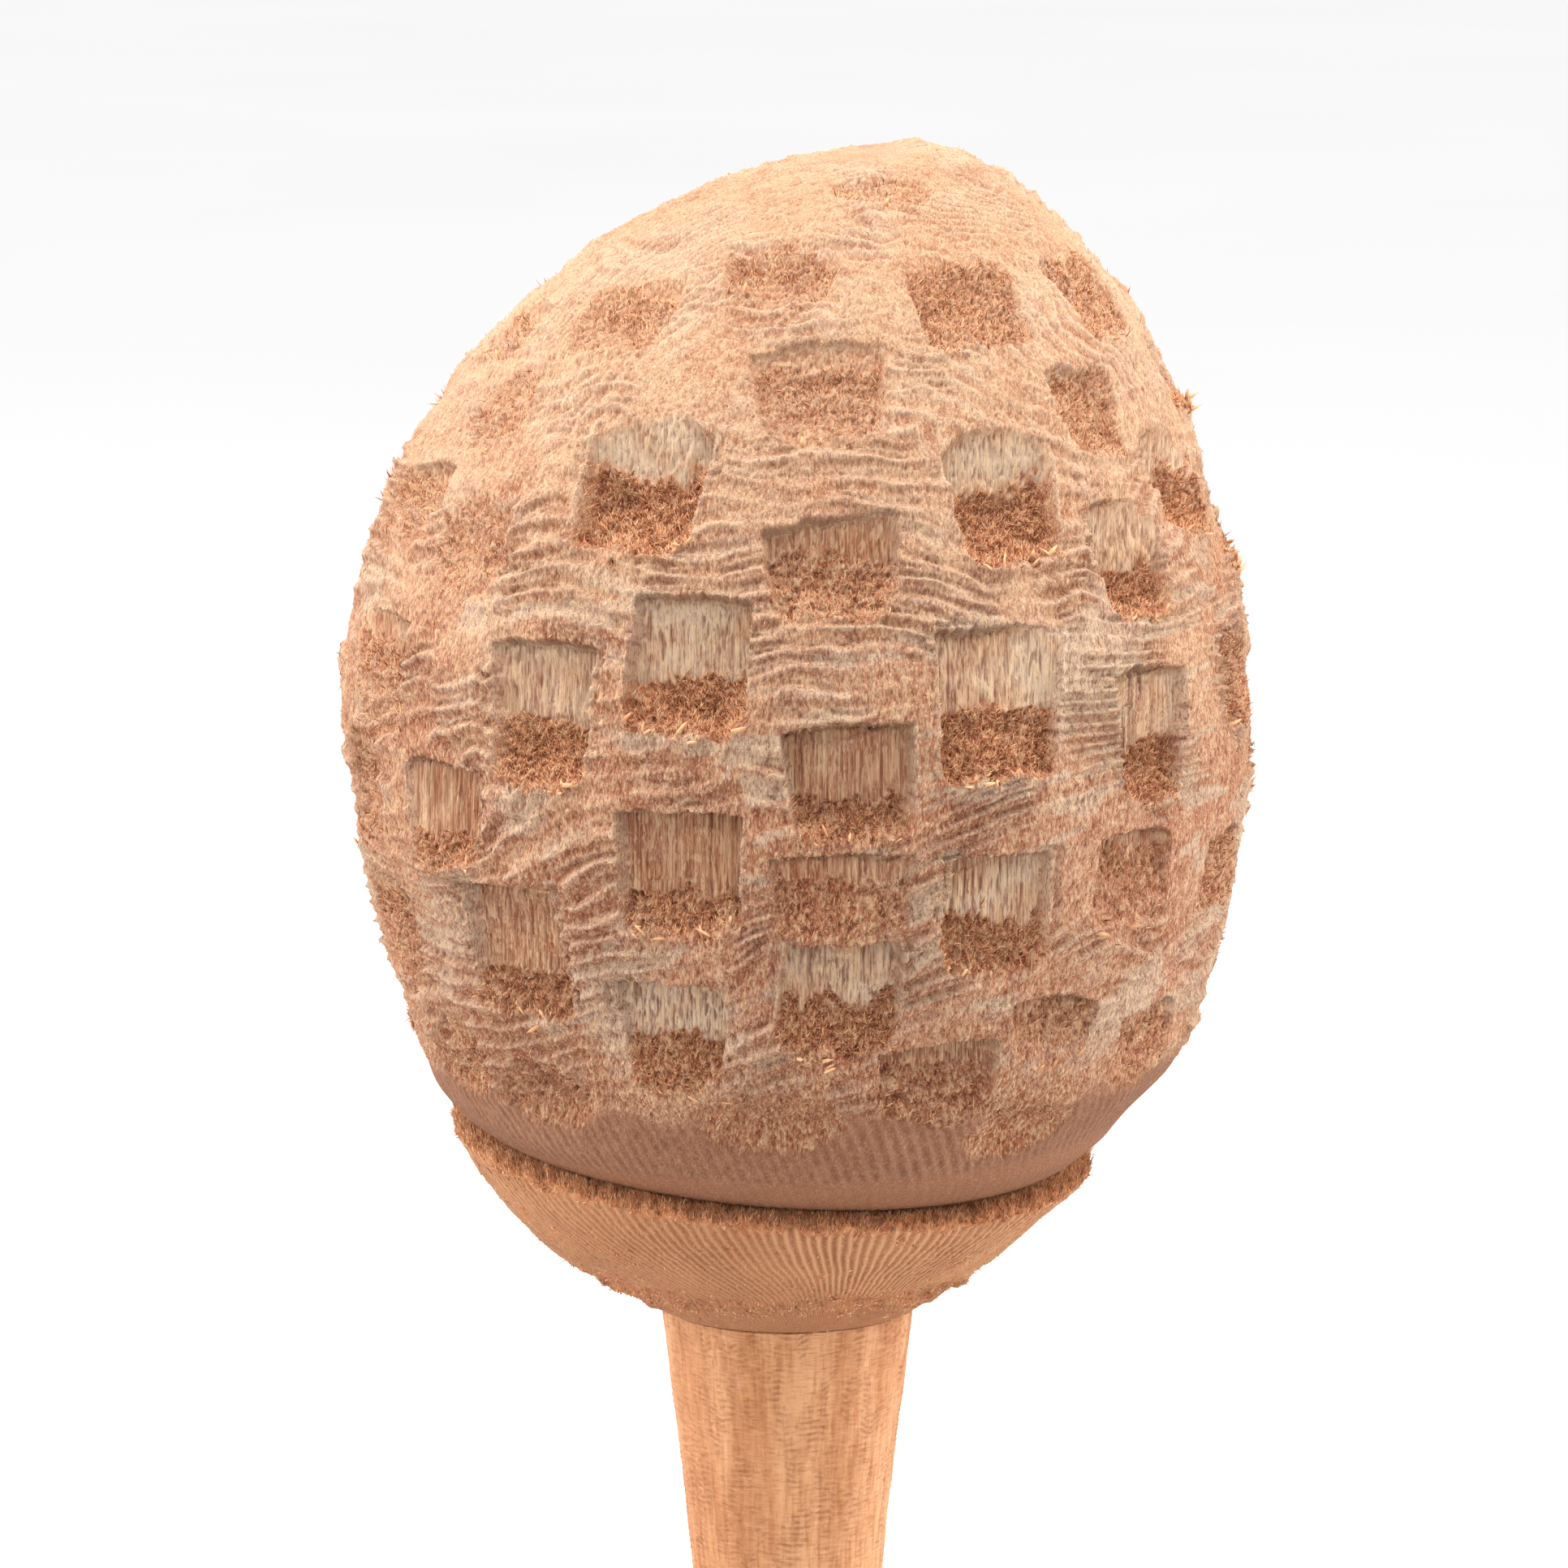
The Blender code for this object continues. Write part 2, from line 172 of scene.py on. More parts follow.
def noise(points, cell, seed):
    """Smooth noise from about -1 to 1, with grains of a size: one number, or (across, along)."""
    if np.isscalar(cell):
        at = (points.astype(np.float32) @ TURN) / np.float32(cell)
    else:
        at = points.astype(np.float32) / np.array((cell[0], cell[0], cell[1]), np.float32)
        x, y = at[..., 0] * 0.83 + at[..., 1] * 0.56, at[..., 1] * 0.83 - at[..., 0] * 0.56
        at = np.stack((x, y, at[..., 2]), -1)
    at = at + np.array((7.31, 3.77, 11.13), np.float32) * (seed + 1)
    low = np.floor(at).astype(np.int32)
    part = at - low
    part = part * part * (3 - 2 * part)
    low %= LATTICE_SIZE
    high = (low + 1) % LATTICE_SIZE
    value = np.zeros(points.shape[:-1], np.float32)
    for corner in range(8):
        index = []
        weight = np.ones(points.shape[:-1], np.float32)
        for axis in range(3):
            if corner >> axis & 1:
                index.append(high[..., axis])
                weight = weight * part[..., axis]
            else:
                index.append(low[..., axis])
                weight = weight * (1 - part[..., axis])
        value += LATTICE[index[0], index[1], index[2]] * weight
    return value * 1.5


def ramp(value, low, high):
    share = np.clip((value - low) / (high - low), 0, 1)
    return share * share * (3 - 2 * share)


def grain_over(grid):
    """The noise over a grid of points, as a function of cell and seed."""
    flat, shape = grid.reshape(-1, 3), grid.shape[:2]
    return lambda cell, seed: noise(flat, cell, seed).reshape(shape)


def bell(value, width):
    return np.exp(-((value / width) ** 2))


def ridge(phase, width):
    """Thin raised lines, one for each whole number of phase; width is a share of their spacing."""
    return bell(phase - np.round(phase), width)


# ---- sections of the object: radius, shift to the right and tilt at each height


def head_radius(z):
    above = np.clip((z - WIDEST_HEIGHT) / CROWN_REACH, 0, 1) ** CROWN_POWER
    below = np.clip((WIDEST_HEIGHT - z) / SKIRT_REACH, 0, 1) ** SKIRT_POWER
    return HEAD_RADIUS * np.sqrt(np.clip(1 - above - below, 0, 1))


def head_middle(z):
    rise = np.maximum(0, z - LEAN_START) / LEAN_REACH
    fall = np.clip((LOW_PART - z) / (LOW_PART - GROOVE_HEIGHT), 0, 1)
    return HEAD_SHIFT + LEAN * rise**2 + (GROOVE_SHIFT - HEAD_SHIFT) * fall


def collar_middle(z):
    share = (z - SHOULDER_HEIGHT) / (GROOVE_HEIGHT - SHOULDER_HEIGHT)
    return GROOVE_SHIFT * np.clip(share, 0, 1)


def tilt_share(z):
    above = (LEVEL_ABOVE - z) / (LEVEL_ABOVE - GROOVE_HEIGHT)
    below = (z - LEVEL_BELOW) / (GROOVE_HEIGHT - LEVEL_BELOW)
    return ramp(np.where(z >= GROOVE_HEIGHT, above, below), 0, 1)


def tenon_radius(z):
    share = (z - FLARE_START) / (TENON_TOP - FLARE_START)
    return TENON_RADIUS + TENON_FLARE * np.clip(share, 0, 1)


def handle_radius(z):
    neck = np.clip((z - WAIST_HEIGHT) / (SHOULDER_HEIGHT - WAIST_HEIGHT), 0, 1)
    palm = np.clip((WAIST_HEIGHT - z) / (WAIST_HEIGHT - PALM_HEIGHT), 0, 1)
    end = np.clip((PALM_HEIGHT - z) / PALM_HEIGHT, 0, 1)
    upper = WAIST_RADIUS + (NECK_RADIUS - WAIST_RADIUS) * neck**1.3
    lower = WAIST_RADIUS + (PALM_RADIUS - WAIST_RADIUS) * np.sin(np.pi / 2 * palm) ** 2
    butt = BUTT_RADIUS + (PALM_RADIUS - BUTT_RADIUS) * np.sqrt(1 - end**4)
    return np.where(z >= WAIST_HEIGHT, upper, np.where(z >= PALM_HEIGHT, lower, butt))


def groove_middle(z):
    return np.full_like(z, GROOVE_SHIFT)


def turn_angles(radius):
    """Angles round a section of a radius, one cell apart on average and closer at the front."""
    steps = round(2 * math.pi * radius / CELL)
    turns = np.linspace(0, 2 * np.pi, steps, endpoint=False)
    return turns - FRONT_DENSER * np.sin(turns)


def spaced(points, cell):
    """A polyline in (radius, height), resampled at about one point per cell."""
    points = np.array(points, float)
    run = np.concatenate(([0], np.cumsum(np.hypot(*np.diff(points, axis=0).T))))
    count = max(2, int(round(run[-1] / cell)) + 1)
    at = np.linspace(0, run[-1], count)
    return np.stack([np.interp(at, run, points[:, i]) for i in range(2)], -1)


def softened(path, passes):
    """The same path with its corners rounded."""
    for _ in range(passes):
        path[1:-1] = (path[:-2] + 2 * path[1:-1] + path[2:]) / 4
    return path


def ring_points(angles, *stretches):
    """Rings of points about Z, for stretches of (path of radius and height, middle, tilted)."""
    rows = []
    for path, middle, tilted in stretches:
        z = path[:, 1]
        shift = middle(z) if middle else np.zeros_like(z)
        tilt = tilt_share(z) if tilted else np.zeros_like(z)
        rows.append(np.stack((path[:, 0], z, shift, tilt), -1))
    radius, height, shift, tilt = np.concatenate(rows).T[:, :, None]
    x = shift + radius * np.sin(angles)
    y = -radius * np.cos(angles)
    z = height + tilt * (y * FALLS_TO_FRONT - x * FALLS_TO_RIGHT)
    return np.stack((x, y, z), -1).astype(np.float32)


def unit(vectors):
    return vectors / np.maximum(np.linalg.norm(vectors, axis=-1, keepdims=True), 1e-9)


def normals_of(points):
    """Outward unit vectors at a grid of points that go round in rings."""
    along = np.gradient(points, axis=0)
    across = np.roll(points, -1, 1) - np.roll(points, 1, 1)
    return unit(np.cross(across, along))


def face_starts(quads, tris):
    return np.concatenate((np.arange(len(quads)) * 4, len(quads) * 4 + np.arange(len(tris)) * 3))


def placed(name, data):
    """A new object in the scene."""
    thing = bpy.data.objects.new(name, data)
    bpy.context.scene.collection.objects.link(thing)
    return thing


def object_from(name, verts, loops, starts, attributes):
    """A smooth-shaded mesh object in metres, with one float attribute for each entry."""
    mesh = bpy.data.meshes.new(name)
    mesh.vertices.add(len(verts))
    mesh.vertices.foreach_set("co", (verts * MM).astype(np.float32).ravel())
    mesh.loops.add(len(loops))
    mesh.loops.foreach_set("vertex_index", loops.astype(np.int32))
    mesh.polygons.add(len(starts))
    mesh.polygons.foreach_set("loop_start", starts.astype(np.int32))
    mesh.update(calc_edges=True)
    for key, values in attributes.items():
        made = mesh.attributes.new(key, "FLOAT", "POINT")
        made.data.foreach_set("value", values.astype(np.float32).ravel())
    mesh.shade_smooth()
    return placed(name, mesh)


def padded(values, before, after):
    """The same attributes, with zeros on the hidden rings before and after the shown ones."""
    return {key: np.pad(value, ((before, after), (0, 0))) for key, value in values.items()}


def skin(name, points, attributes, loop):
    """A closed mesh over rings of points: a loop of rings, or rings between two poles."""
    rows, steps = points.shape[:2]
    index = np.arange(rows * steps).reshape(rows, steps)
    beside = np.roll(index, -1, 1)
    if loop:
        above, above_beside = np.roll(index, -1, 0), np.roll(beside, -1, 0)
        quads = np.stack((index, beside, above_beside, above), -1).reshape(-1, 4)
        tris = np.zeros((0, 3), int)
        verts = points.reshape(-1, 3)
        values = {key: v.reshape(-1) for key, v in attributes.items()}
    else:
        quads = np.stack((index[:-1], beside[:-1], beside[1:], index[1:]), -1).reshape(-1, 4)
        poles = np.stack((points[0].mean(0), points[-1].mean(0)))
        verts = np.concatenate((points.reshape(-1, 3), poles))
        first, last = rows * steps, rows * steps + 1
        low = np.stack((beside[0], index[0], np.full(steps, first)), -1)
        high = np.stack((index[-1], beside[-1], np.full(steps, last)), -1)
        tris = np.concatenate((low, high))
        values = {
            key: np.concatenate((v.reshape(-1), (v[0].mean(), v[-1].mean())))
            for key, v in attributes.items()
        }
    loops = np.concatenate((quads.ravel(), tris.ravel()))
    return object_from(name, verts, loops, face_starts(quads, tris), values)


# ---- the head's surface

# How each kind of pit is cut: share of its height that is floor, how upright the floor stands,
# how far its top edge arches, the widths of its side and top walls, and how torn its slope is.
KINDS = {
    "s": (0.52, 1.0, 0.6, 0.40, 0.35, 1.0),
    "b": (0.68, 0.9, 0.6, 0.40, 0.35, 0.85),
    "a": (0.36, 1.0, 3.0, 0.80, 0.90, 1.0),
    "n": (0.12, 0.45, 0.8, 0.90, 0.40, 0.70),
    "m": (0.26, 0.85, 0.2, 0.50, 0.30, 0.60),
    "f": (0.00, 0.4, 0.8, 1.20, 0.90, 0.62),
    "o": (0.00, 0.2, 3.0, 3.00, 2.40, 0.42),
}


def pit_places():
    """The front's pits, then even rows round the back and a ring of scoops near the top."""
    places = list(FRONT_PITS)
    for column, azimuth in enumerate(BACK_COLUMNS):
        heights = ODD_HEIGHTS if column % 2 else EVEN_HEIGHTS
        for row, z in enumerate(heights):
            wander = math.sin(2.7 * column + 1.9 * row)
            width = min(16, 0.3 * head_radius(z)) + wander
            place = (azimuth + 2 * wander, z + 1.5 * wander)
            kind = BACK_KINDS[(3 * column + row) % len(BACK_KINDS)]
            places.append((*place, width, 16 - wander, 3.2 + wander, 5 * wander, kind))
    for azimuth in CROWN_PITS:
        places.append((azimuth, CROWN_PIT_HEIGHT, 12, 11, 2.2, 0, "o"))
    return places


def nearest_point(base, angles, azimuth, z):
    """(row, column) of the grid point at an azimuth in degrees and a height."""
    away = np.abs(np.mod(angles - math.radians(azimuth) + np.pi, 2 * np.pi) - np.pi)
    column = np.argmin(away)
    return np.argmin(np.abs(base[:, column, 2] - z)), column


def pit_cut(pit, number, normal, away, out, warps):
    """One pit at the points near it, which lie away from its middle.

    Gives how deep each point is cut, then how much of it is floor, torn slope, top edge with a
    painted shadow line, pale rim, lower lip, and browned floor with a painted shadow under the top
    edge.
    """
    azimuth, _, width, height, depth, tilt, kind = pit
    floor_share, upright, arch, side_wall, top_wall, tear = KINDS[kind]
    rng = np.random.default_rng(100 + number)
    taper, lean, turn, rounding = rng.uniform((-0.10, -0.07, -7, 0.8), (0.10, 0.07, 7, 3.2))
    front = abs(azimuth) < 80
    facing = math.radians(0.68 * azimuth if front else azimuth + turn)
    face = np.array((math.sin(facing), -math.cos(facing), 0))
    face = unit(face * upright + normal * (1 - upright))
    across = unit(np.cross((0, 0, 1.0), normal))
    up = np.cross(normal, across)

    chopped = kind in "sab"
    soft = 1.0 if kind in "fo" else 0.5
    u = away @ across + warps[0] * soft
    v = away @ up + warps[1] * soft
    half, top, foot = width / 2, height / 2, -height / 2
    across_share = np.clip(u / half, -1.3, 1.3)
    side = half * (1 + taper * v / top) - np.abs(u - lean * v)
    crest = top + math.tan(math.radians(tilt)) * u - arch * across_share**2
    below = foot + rounding * across_share**4 + 0.8 * warps[2]
    turn_at = foot + (1 - floor_share) * height + 1.1 * warps[2] + 0.10 * turn * across_share
    rise = np.clip((v - below) / np.maximum(turn_at - below, 0.5), 0, 1)

    plane = (away @ face + depth) / np.maximum(out @ face, 0.35)
    plane = np.clip(plane, 0, 1.35 * depth + 0.8)
    if kind == "o":
        bowl = np.clip(1 - across_share**2 * 0.9 - ((v - 0.1 * top) / top) ** 2, 0, 1)
        cut = depth * bowl**0.8
        inside = ramp(bowl, 0.02, 0.30)
        torn = inside
        floor = np.zeros_like(u)
    else:
        wall = side_wall + max(1.2 - side_wall, 0) * (1 - rise)
        inside = ramp(side, 0, wall) * ramp(crest - v, 0, top_wall)
        bend = 0.72 if chopped else 1.0
        cut = plane * inside * np.sin(np.pi / 2 * rise) ** bend
        torn = ramp(side, -0.3, 1.2) * ramp(crest - v, 0, 0.6) * ramp(v - below, -0.6, 0.5)
        torn = torn * (1 - ramp(rise, 0.86, 1.0))
        floor = ramp(side, 0.2, 0.8) * ramp(crest - v, 0.2, 0.8) * ramp(rise, 0.86, 1.0)
        floor = floor * ramp(plane, 0.0, 0.35)
        if kind == "n":
            torn = torn * (0.35 + 0.65 * rise)
    rim = np.zeros_like(u)
    if chopped:
        double = 1.0 if number % 3 != 1 else 0.0
        ledge = ramp(side + 1.5, 0, 0.35) * ramp(crest + 1.1 - v, 0, 0.35) * ramp(rise, 0.5, 1.0)
        at_sides = ramp(np.abs(across_share), 0.5, 0.8)
        cut = np.maximum(cut, double * 0.24 * np.minimum(plane, depth) * ledge * at_sides)
        rim = bell(side, 0.35) * ramp(crest - v, -0.4, 0.4) * ramp(v - below, 1.0, 3.0)
        rim = rim + double * 0.7 * bell(side + 1.5, 0.4) * ledge
    # The edge mask paints a dark line along the pit's top edge, a painted shadow under the
    # overhang; it also sinks the surface a little there.
    edge = ramp(side, -0.3, 0.5) * ramp(crest - v, -0.25, 0.1) * ramp(v - crest, -1.1, -0.2)
    edge = edge * ramp(plane, 0.8, 2.0) * (0 if kind == "o" else 1)
    lip = bell(v - below + 0.3, 0.7) * ramp(side, -0.4, 1.0) * tear
    # A painted shadow: the floor darker just under the top edge, fading downwards. It is carried
    # together with the browned floors of kinds b, m and n.
    shadow = 0.8 * np.exp(-np.maximum(crest - v, 0) / (1.0 + 0.7 * (number % 4))) * (floor > 0)
    browned = 0.9 if kind in "bmn" else 0.35 * (number * 37 % 10) / 9
    brown_and_shadow = np.maximum(shadow, browned) * floor
    return cut, floor, torn * tear, edge, np.clip(rim, 0, 1), lip, brown_and_shadow


def carve_pits(base, out, angles, grain):
    """The seven values of pit_cut over the whole surface, from the pit that gives the most."""
    totals = [np.zeros(base.shape[:2], np.float32) for _ in range(7)]
    warps = (
        grain(3.2, 1) * 0.6 + grain(1.0, 2) * 0.22,
        grain(3.2, 3) * 0.6 + grain((0.5, 2.0), 4) * 0.40,
        grain(2.4, 5) + 0.5 * grain(0.8, 6),
    )
    for number, pit in enumerate(pit_places()):
        azimuth, level, _, reach = pit[:4]
        spot = nearest_point(base, angles, azimuth, level)
        middle, normal = base[spot], out[spot]
        rows = np.where(np.abs(base[:, spot[1], 2] - middle[2]) < reach)[0]
        window = slice(rows[0], rows[-1] + 1)
        away = base[window] - middle
        near = (np.linalg.norm(away, axis=-1) < 1.05 * reach) & (out[window] @ normal > 0.2)
        warp = [w[window][near] for w in warps]
        made = pit_cut(pit, number, normal, away[near], out[window][near], warp)
        for total, one in zip(totals, made):
            part = total[window]
            part[near] = np.maximum(part[near], one)
    return totals


def head_outline():
    """Outer side of the head's section: the groove's upper wall, then the egg."""
    foot = GROOVE_HEIGHT + GAP / 2
    rim = head_radius(foot + GROOVE_WALL) - 0.3
    reach = rim - GROOVE_FOOT
    wall = [(GROOVE_FOOT + reach * out, foot + GROOVE_WALL * up) for out, up in GROOVE_CURVE]
    cap = HEAD_TOP - 6
    rise = np.linspace(foot + GROOVE_WALL + 0.8, cap, 160)
    rise = np.concatenate((rise, HEAD_TOP - (HEAD_TOP - cap) * np.linspace(0.97, 0, 60) ** 2))
    egg = np.stack((head_radius(rise), rise), -1)
    path = spaced(np.concatenate((wall, egg)), CELL)
    return softened(path, 2)[:-2]


def make_head():
    outer = head_outline()
    foot = GROOVE_HEIGHT + GAP / 2
    ceiling = WEDGE_TOP + GAP
    bore = tenon_radius(np.array((ceiling, FLARE_START, foot))) + GAP
    mortise = [(0.5, ceiling), (bore[0], ceiling), (bore[1], FLARE_START), (bore[2], foot + 3)]
    inner = spaced(mortise, HIDDEN_CELL)
    under = spaced([(bore[2], foot), (GROOVE_FOOT - 0.6, foot)], HIDDEN_CELL)
    angles = turn_angles(HEAD_RADIUS)
    points = ring_points(
        angles, (inner, None, False), (under, groove_middle, True), (outer, head_middle, True)
    )
    hidden = len(inner) + len(under)
    base = points[hidden:].copy()
    out = normals_of(base)
    x, height = base[..., 0], base[..., 2]
    grain = grain_over(base)

    # broad unevenness, local swellings and shavings, the crown's facets, then the pits
    foot_run = ramp(height, GROOVE_HEIGHT + 2, GROOVE_HEIGHT + 12)
    lumps = (0.70 * grain(24.0, 11) + 0.40 * grain(9.0, 12) + 0.14 * grain(3.6, 26)) * foot_run
    for place, level, across, up, amount in LUMPS:
        lumps = lumps + amount * bell(x - place, across) * bell(height - level, up)
    for facing, distance in CROWN_FACETS:
        beyond = (base + out * lumps[..., None]) @ facing - distance
        lumps = lumps - 0.9 * np.maximum(beyond, 0) / np.maximum(out @ facing, 0.5)
    cut, floor, torn, edge, rim, lip, brown_and_shadow = carve_pits(base, out, angles, grain)
    floor = floor * (1 - torn)
    open_wood = 1 - np.clip(cut / 0.5, 0, 1)
    band = 1 - ramp(height + 1.5 * grain(6.0, 13), LOW_PART - 7.5, LOW_PART - 4.5)
    band_only = band * open_wood
    crown = ramp(height, 228, 262)
    patch = ramp(grain(8.0, 16) + 0.4 * grain(3.0, 56), -0.35, 0.55)

    # terraces where the tool crossed the grain: wavy ridges, steeper to the lower left
    lean_low, lean_high = -0.34 * x, 0.05 * x + 0.15 * np.hypot(x, 15)
    course = height + lean_low + (lean_high - lean_low) * ramp(height, 200, 232) + 1.4 * cut
    wander = 3.0 * grain(15.0, 17) + 0.85 * grain(6.0, 18) + 0.20 * grain(2.0, 32)
    phase = (course + wander) / TERRACE_STEP
    saw = phase - np.floor(phase)
    slanted = base.copy()
    slanted[..., 2] = course + 0.5 * wander
    smear_grain = grain_over(slanted)
    comb = smear_grain((9.0, 0.95), 33)
    smear = smear_grain((9.0, 2.4), 37) + 0.5 * smear_grain((4.0, 1.0), 38)
    smear = 0.9 * smear + 0.7 * grain(11.0, 14) + 0.2 * grain((0.6, 3.0), 27)
    weather = ramp(smear, 0.10, 0.75) * ramp(height, 164, 176)
    weather = weather * (1 - ramp(height, 226, 256)) * (1 - torn)
    lower_left = bell(x + 34, 17) * bell(height - 186, 22)
    strength = np.clip(0.16 + 0.75 * patch * (1 - 0.4 * crown) + 0.6 * lower_left, 0, 1)
    strength = strength * (1 - 0.8 * floor) * (1 - 0.55 * torn) * (1 - band)
    strength = strength * (1 - 0.3 * weather) * foot_run
    rise, fall = saw / TERRACE_PEAK, (1 - saw) / (1 - TERRACE_PEAK)
    terrace = np.where(saw < TERRACE_PEAK, rise**1.4, fall)
    # The crest mask marks each terrace's step, which is painted pale: partly the wood's pale
    # grain, partly a painted highlight.
    crest = bell(saw - TERRACE_PEAK, 0.12) * strength
    comb_line = bell(comb, 0.16) * (0.35 + 0.65 * patch)
    comb_line = comb_line * (1 - floor) * (1 - band) * foot_run
    comb_phase = (course + 0.8 * wander + 0.35 * grain(4.0, 39)) / RIPPLE_STEP
    rippled = ramp(grain(6.0, 40), -0.5, 0.6) * strength
    ripple = ridge(comb_phase, 0.24) * rippled

    # growth rings that show as contour lines on the crown
    depth_lines = (base - out * cut[..., None]) @ ACROSS_RINGS / RING_STEP
    depth_lines = depth_lines + 1.1 * grain(9.0, 34) + 0.35 * grain(2.6, 35)
    on_crown = ramp(height, 238, 258) * (0.3 + 0.7 * ramp(grain(7.0, 36), -0.5, 0.5))
    contour = ridge(depth_lines, 0.22) * on_crown
    # Painted shade: darker in the hollow below each terrace crest, and along a line beside each
    # contour ring and each ripple.
    hollow_shade = bell(saw - 0.50, 0.20) * strength * (1 - 0.5 * crown)
    hollow_shade = hollow_shade + 0.6 * ridge(depth_lines + 0.42, 0.22) * on_crown
    hollow_shade = hollow_shade + 0.6 * ridge(comb_phase + 0.36, 0.22) * rippled

    # growth-ring arcs on the smooth band above the groove
    arc_phase = angles / (2 * np.pi) * BAND_LINES
    arc_phase = arc_phase + 0.40 * (height - GROOVE_HEIGHT) + 0.5 * grain(12.0, 19)
    arcs = ridge(arc_phase, 0.24) * band_only * (0.6 + 0.4 * patch)
    # The groove's upper wall is painted lighter than the band: painted bounce light in the groove.
    wall = 1 - ramp(height, GROOVE_HEIGHT + 2.2, GROOVE_HEIGHT + 3.2)

    # torn fibres, which all run along Z
    nap = 0.50 * grain((0.27, 0.70), 20) + 0.40 * grain((0.17, 0.36), 21)
    nap = nap + 0.30 * grain((0.7, 1.6), 22)
    streak = 0.9 * grain((0.34, 8.0), 25) + 0.6 * grain((0.20, 4.0), 28)
    crumb = 0.45 * grain((0.55, 0.80), 23) + 0.65 * grain((0.26, 0.42), 24) + 0.20 * grain(1.8, 29)
    lift = lumps - cut * (1 + 0.10 * grain(3.0, 30) * torn)
    lift = lift + 0.30 * lip * (1 + 0.7 * grain(1.5, 31)) * (1 - band)
    lift = lift + 1.05 * (terrace - 0.5) * strength + 0.26 * comb_line + 0.36 * ripple
    lift = lift + 0.26 * contour + 0.20 * rim + 0.09 * arcs - 0.35 * edge
    rough = (1 - floor) * (1 - 0.85 * band_only) * (1 - 0.35 * weather)
    lift = lift + 0.15 * nap * rough * foot_run
    lift = lift + 0.14 * streak * floor + 0.45 * crumb * torn
    points[hidden:] = base + out * lift[..., None]

    # On the torn slopes the colour follows the crumbs' height, light on the high crumbs and dark
    # in the gaps between them: partly the torn grain's own tone, partly painted highlight and
    # shade.
    shade = (nap + 0.12) * (1 - floor) * (1 - torn) * (1 - 0.6 * band_only)
    shade = shade + (streak + 0.20) * floor * (1 - 0.5 * brown_and_shadow) + (1.9 * crumb + 0.10) * torn
    # The pale lines gather the contour rings, band arcs, comb lines, ripples, pit rims and terrace
    # crests; on the crests the pale line is partly the wood's grain and partly a painted
    # highlight.
    lines = 0.7 * crest + 0.6 * comb_line + 0.7 * ripple + 0.8 * contour + arcs + rim
    values = {
        "fuzz": torn,
        "floor": floor,
        "edge": edge,
        "ring": np.clip(lines, 0, 1),
        "weather": weather,
        "brown_and_shadow": brown_and_shadow,
        "hollow_shade": np.clip(hollow_shade, 0, 1) * (1 - floor) * (1 - torn),
        "band": band_only,
        "nap": np.clip(0.5 + 0.5 * shade, 0, 1),
        "wall": wall,
    }
    piece = skin("carved_head", points, padded(values, hidden, 0), False)
    shown = points[hidden:]
    surface = {"points": shown, "out": normals_of(shown), "torn": torn, "lip": lip}
    surface |= {"floor": floor, "band": band_only, "foot_run": foot_run, "weather": weather}
    surface["crown"] = crown
    return piece, surface


# ---- loose fibres


def spokes(headings, widths, flatness):
    """Unit headings, and three offsets round each one, half a width long."""
    headings = unit(headings)
    side = unit(np.cross(headings, (0.31, 0.77, 0.55)))
    other = np.cross(headings, side)
    turns = [2 * math.pi * i / 3 for i in range(3)]
    return headings, [
        (side * math.cos(turn) + other * math.sin(turn) * flatness) * widths[:, None] / 2
        for turn in turns
    ]


def hairs(name, roots, headings, lengths, widths, bends, tint):
    """Closed tapering slivers: a three-sided foot, a bent middle and a point."""
    count = len(roots)
    headings, offsets = spokes(headings, widths, 0.6)
    verts = np.zeros((count, 7, 3), np.float32)
    foot = roots - headings * 0.35
    waist = roots + headings * (lengths * 0.55)[:, None]
    for i, spoke in enumerate(offsets):
        verts[:, i] = foot + spoke
        verts[:, 3 + i] = waist + spoke * 0.8 + bends * 0.35
    verts[:, 6] = roots + headings * lengths[:, None] + bends
    quads = np.array(((0, 1, 4, 3), (1, 2, 5, 4), (2, 0, 3, 5)))
    tris = np.array(((3, 4, 6), (4, 5, 6), (5, 3, 6), (2, 1, 0)))
    shift = (np.arange(count) * 7)[:, None, None]
    quads = (quads[None] + shift).reshape(-1, 4)
    tris = (tris[None] + shift).reshape(-1, 3)
    loops = np.concatenate((quads.ravel(), tris.ravel()))
    values = {"tint": np.repeat(tint, 7)}
    return object_from(name, verts.reshape(-1, 3), loops, face_starts(quads, tris), values)


def drawn(rng, count, length, width, tint, bend=None):
    """Random lengths, widths and tints, with bends before the tints where they are asked for."""
    shortest, shape, scale = length
    lengths = shortest + rng.gamma(shape, scale, count)
    widths = width[0] + width[1] * rng.random(count)
    bends = [] if bend is None else [rng.normal(0, bend, (count, 3))]
    return [lengths, widths, *bends, np.clip(rng.normal(*tint, count), 0, 1)]


def scatter(surface, weights, count, seed):
    """Random points of a surface and its normals there, by weight and by its cells' width."""
    rng = np.random.default_rng(seed)
    points = surface["points"]
    reach = np.linalg.norm(np.roll(points, -1, 1) - points, axis=-1)
    share = (weights * reach).ravel().astype(float)
    picks = rng.choice(share.size, count, p=share / share.sum())
    return rng, points.reshape(-1, 3)[picks], surface["out"].reshape(-1, 3)[picks]


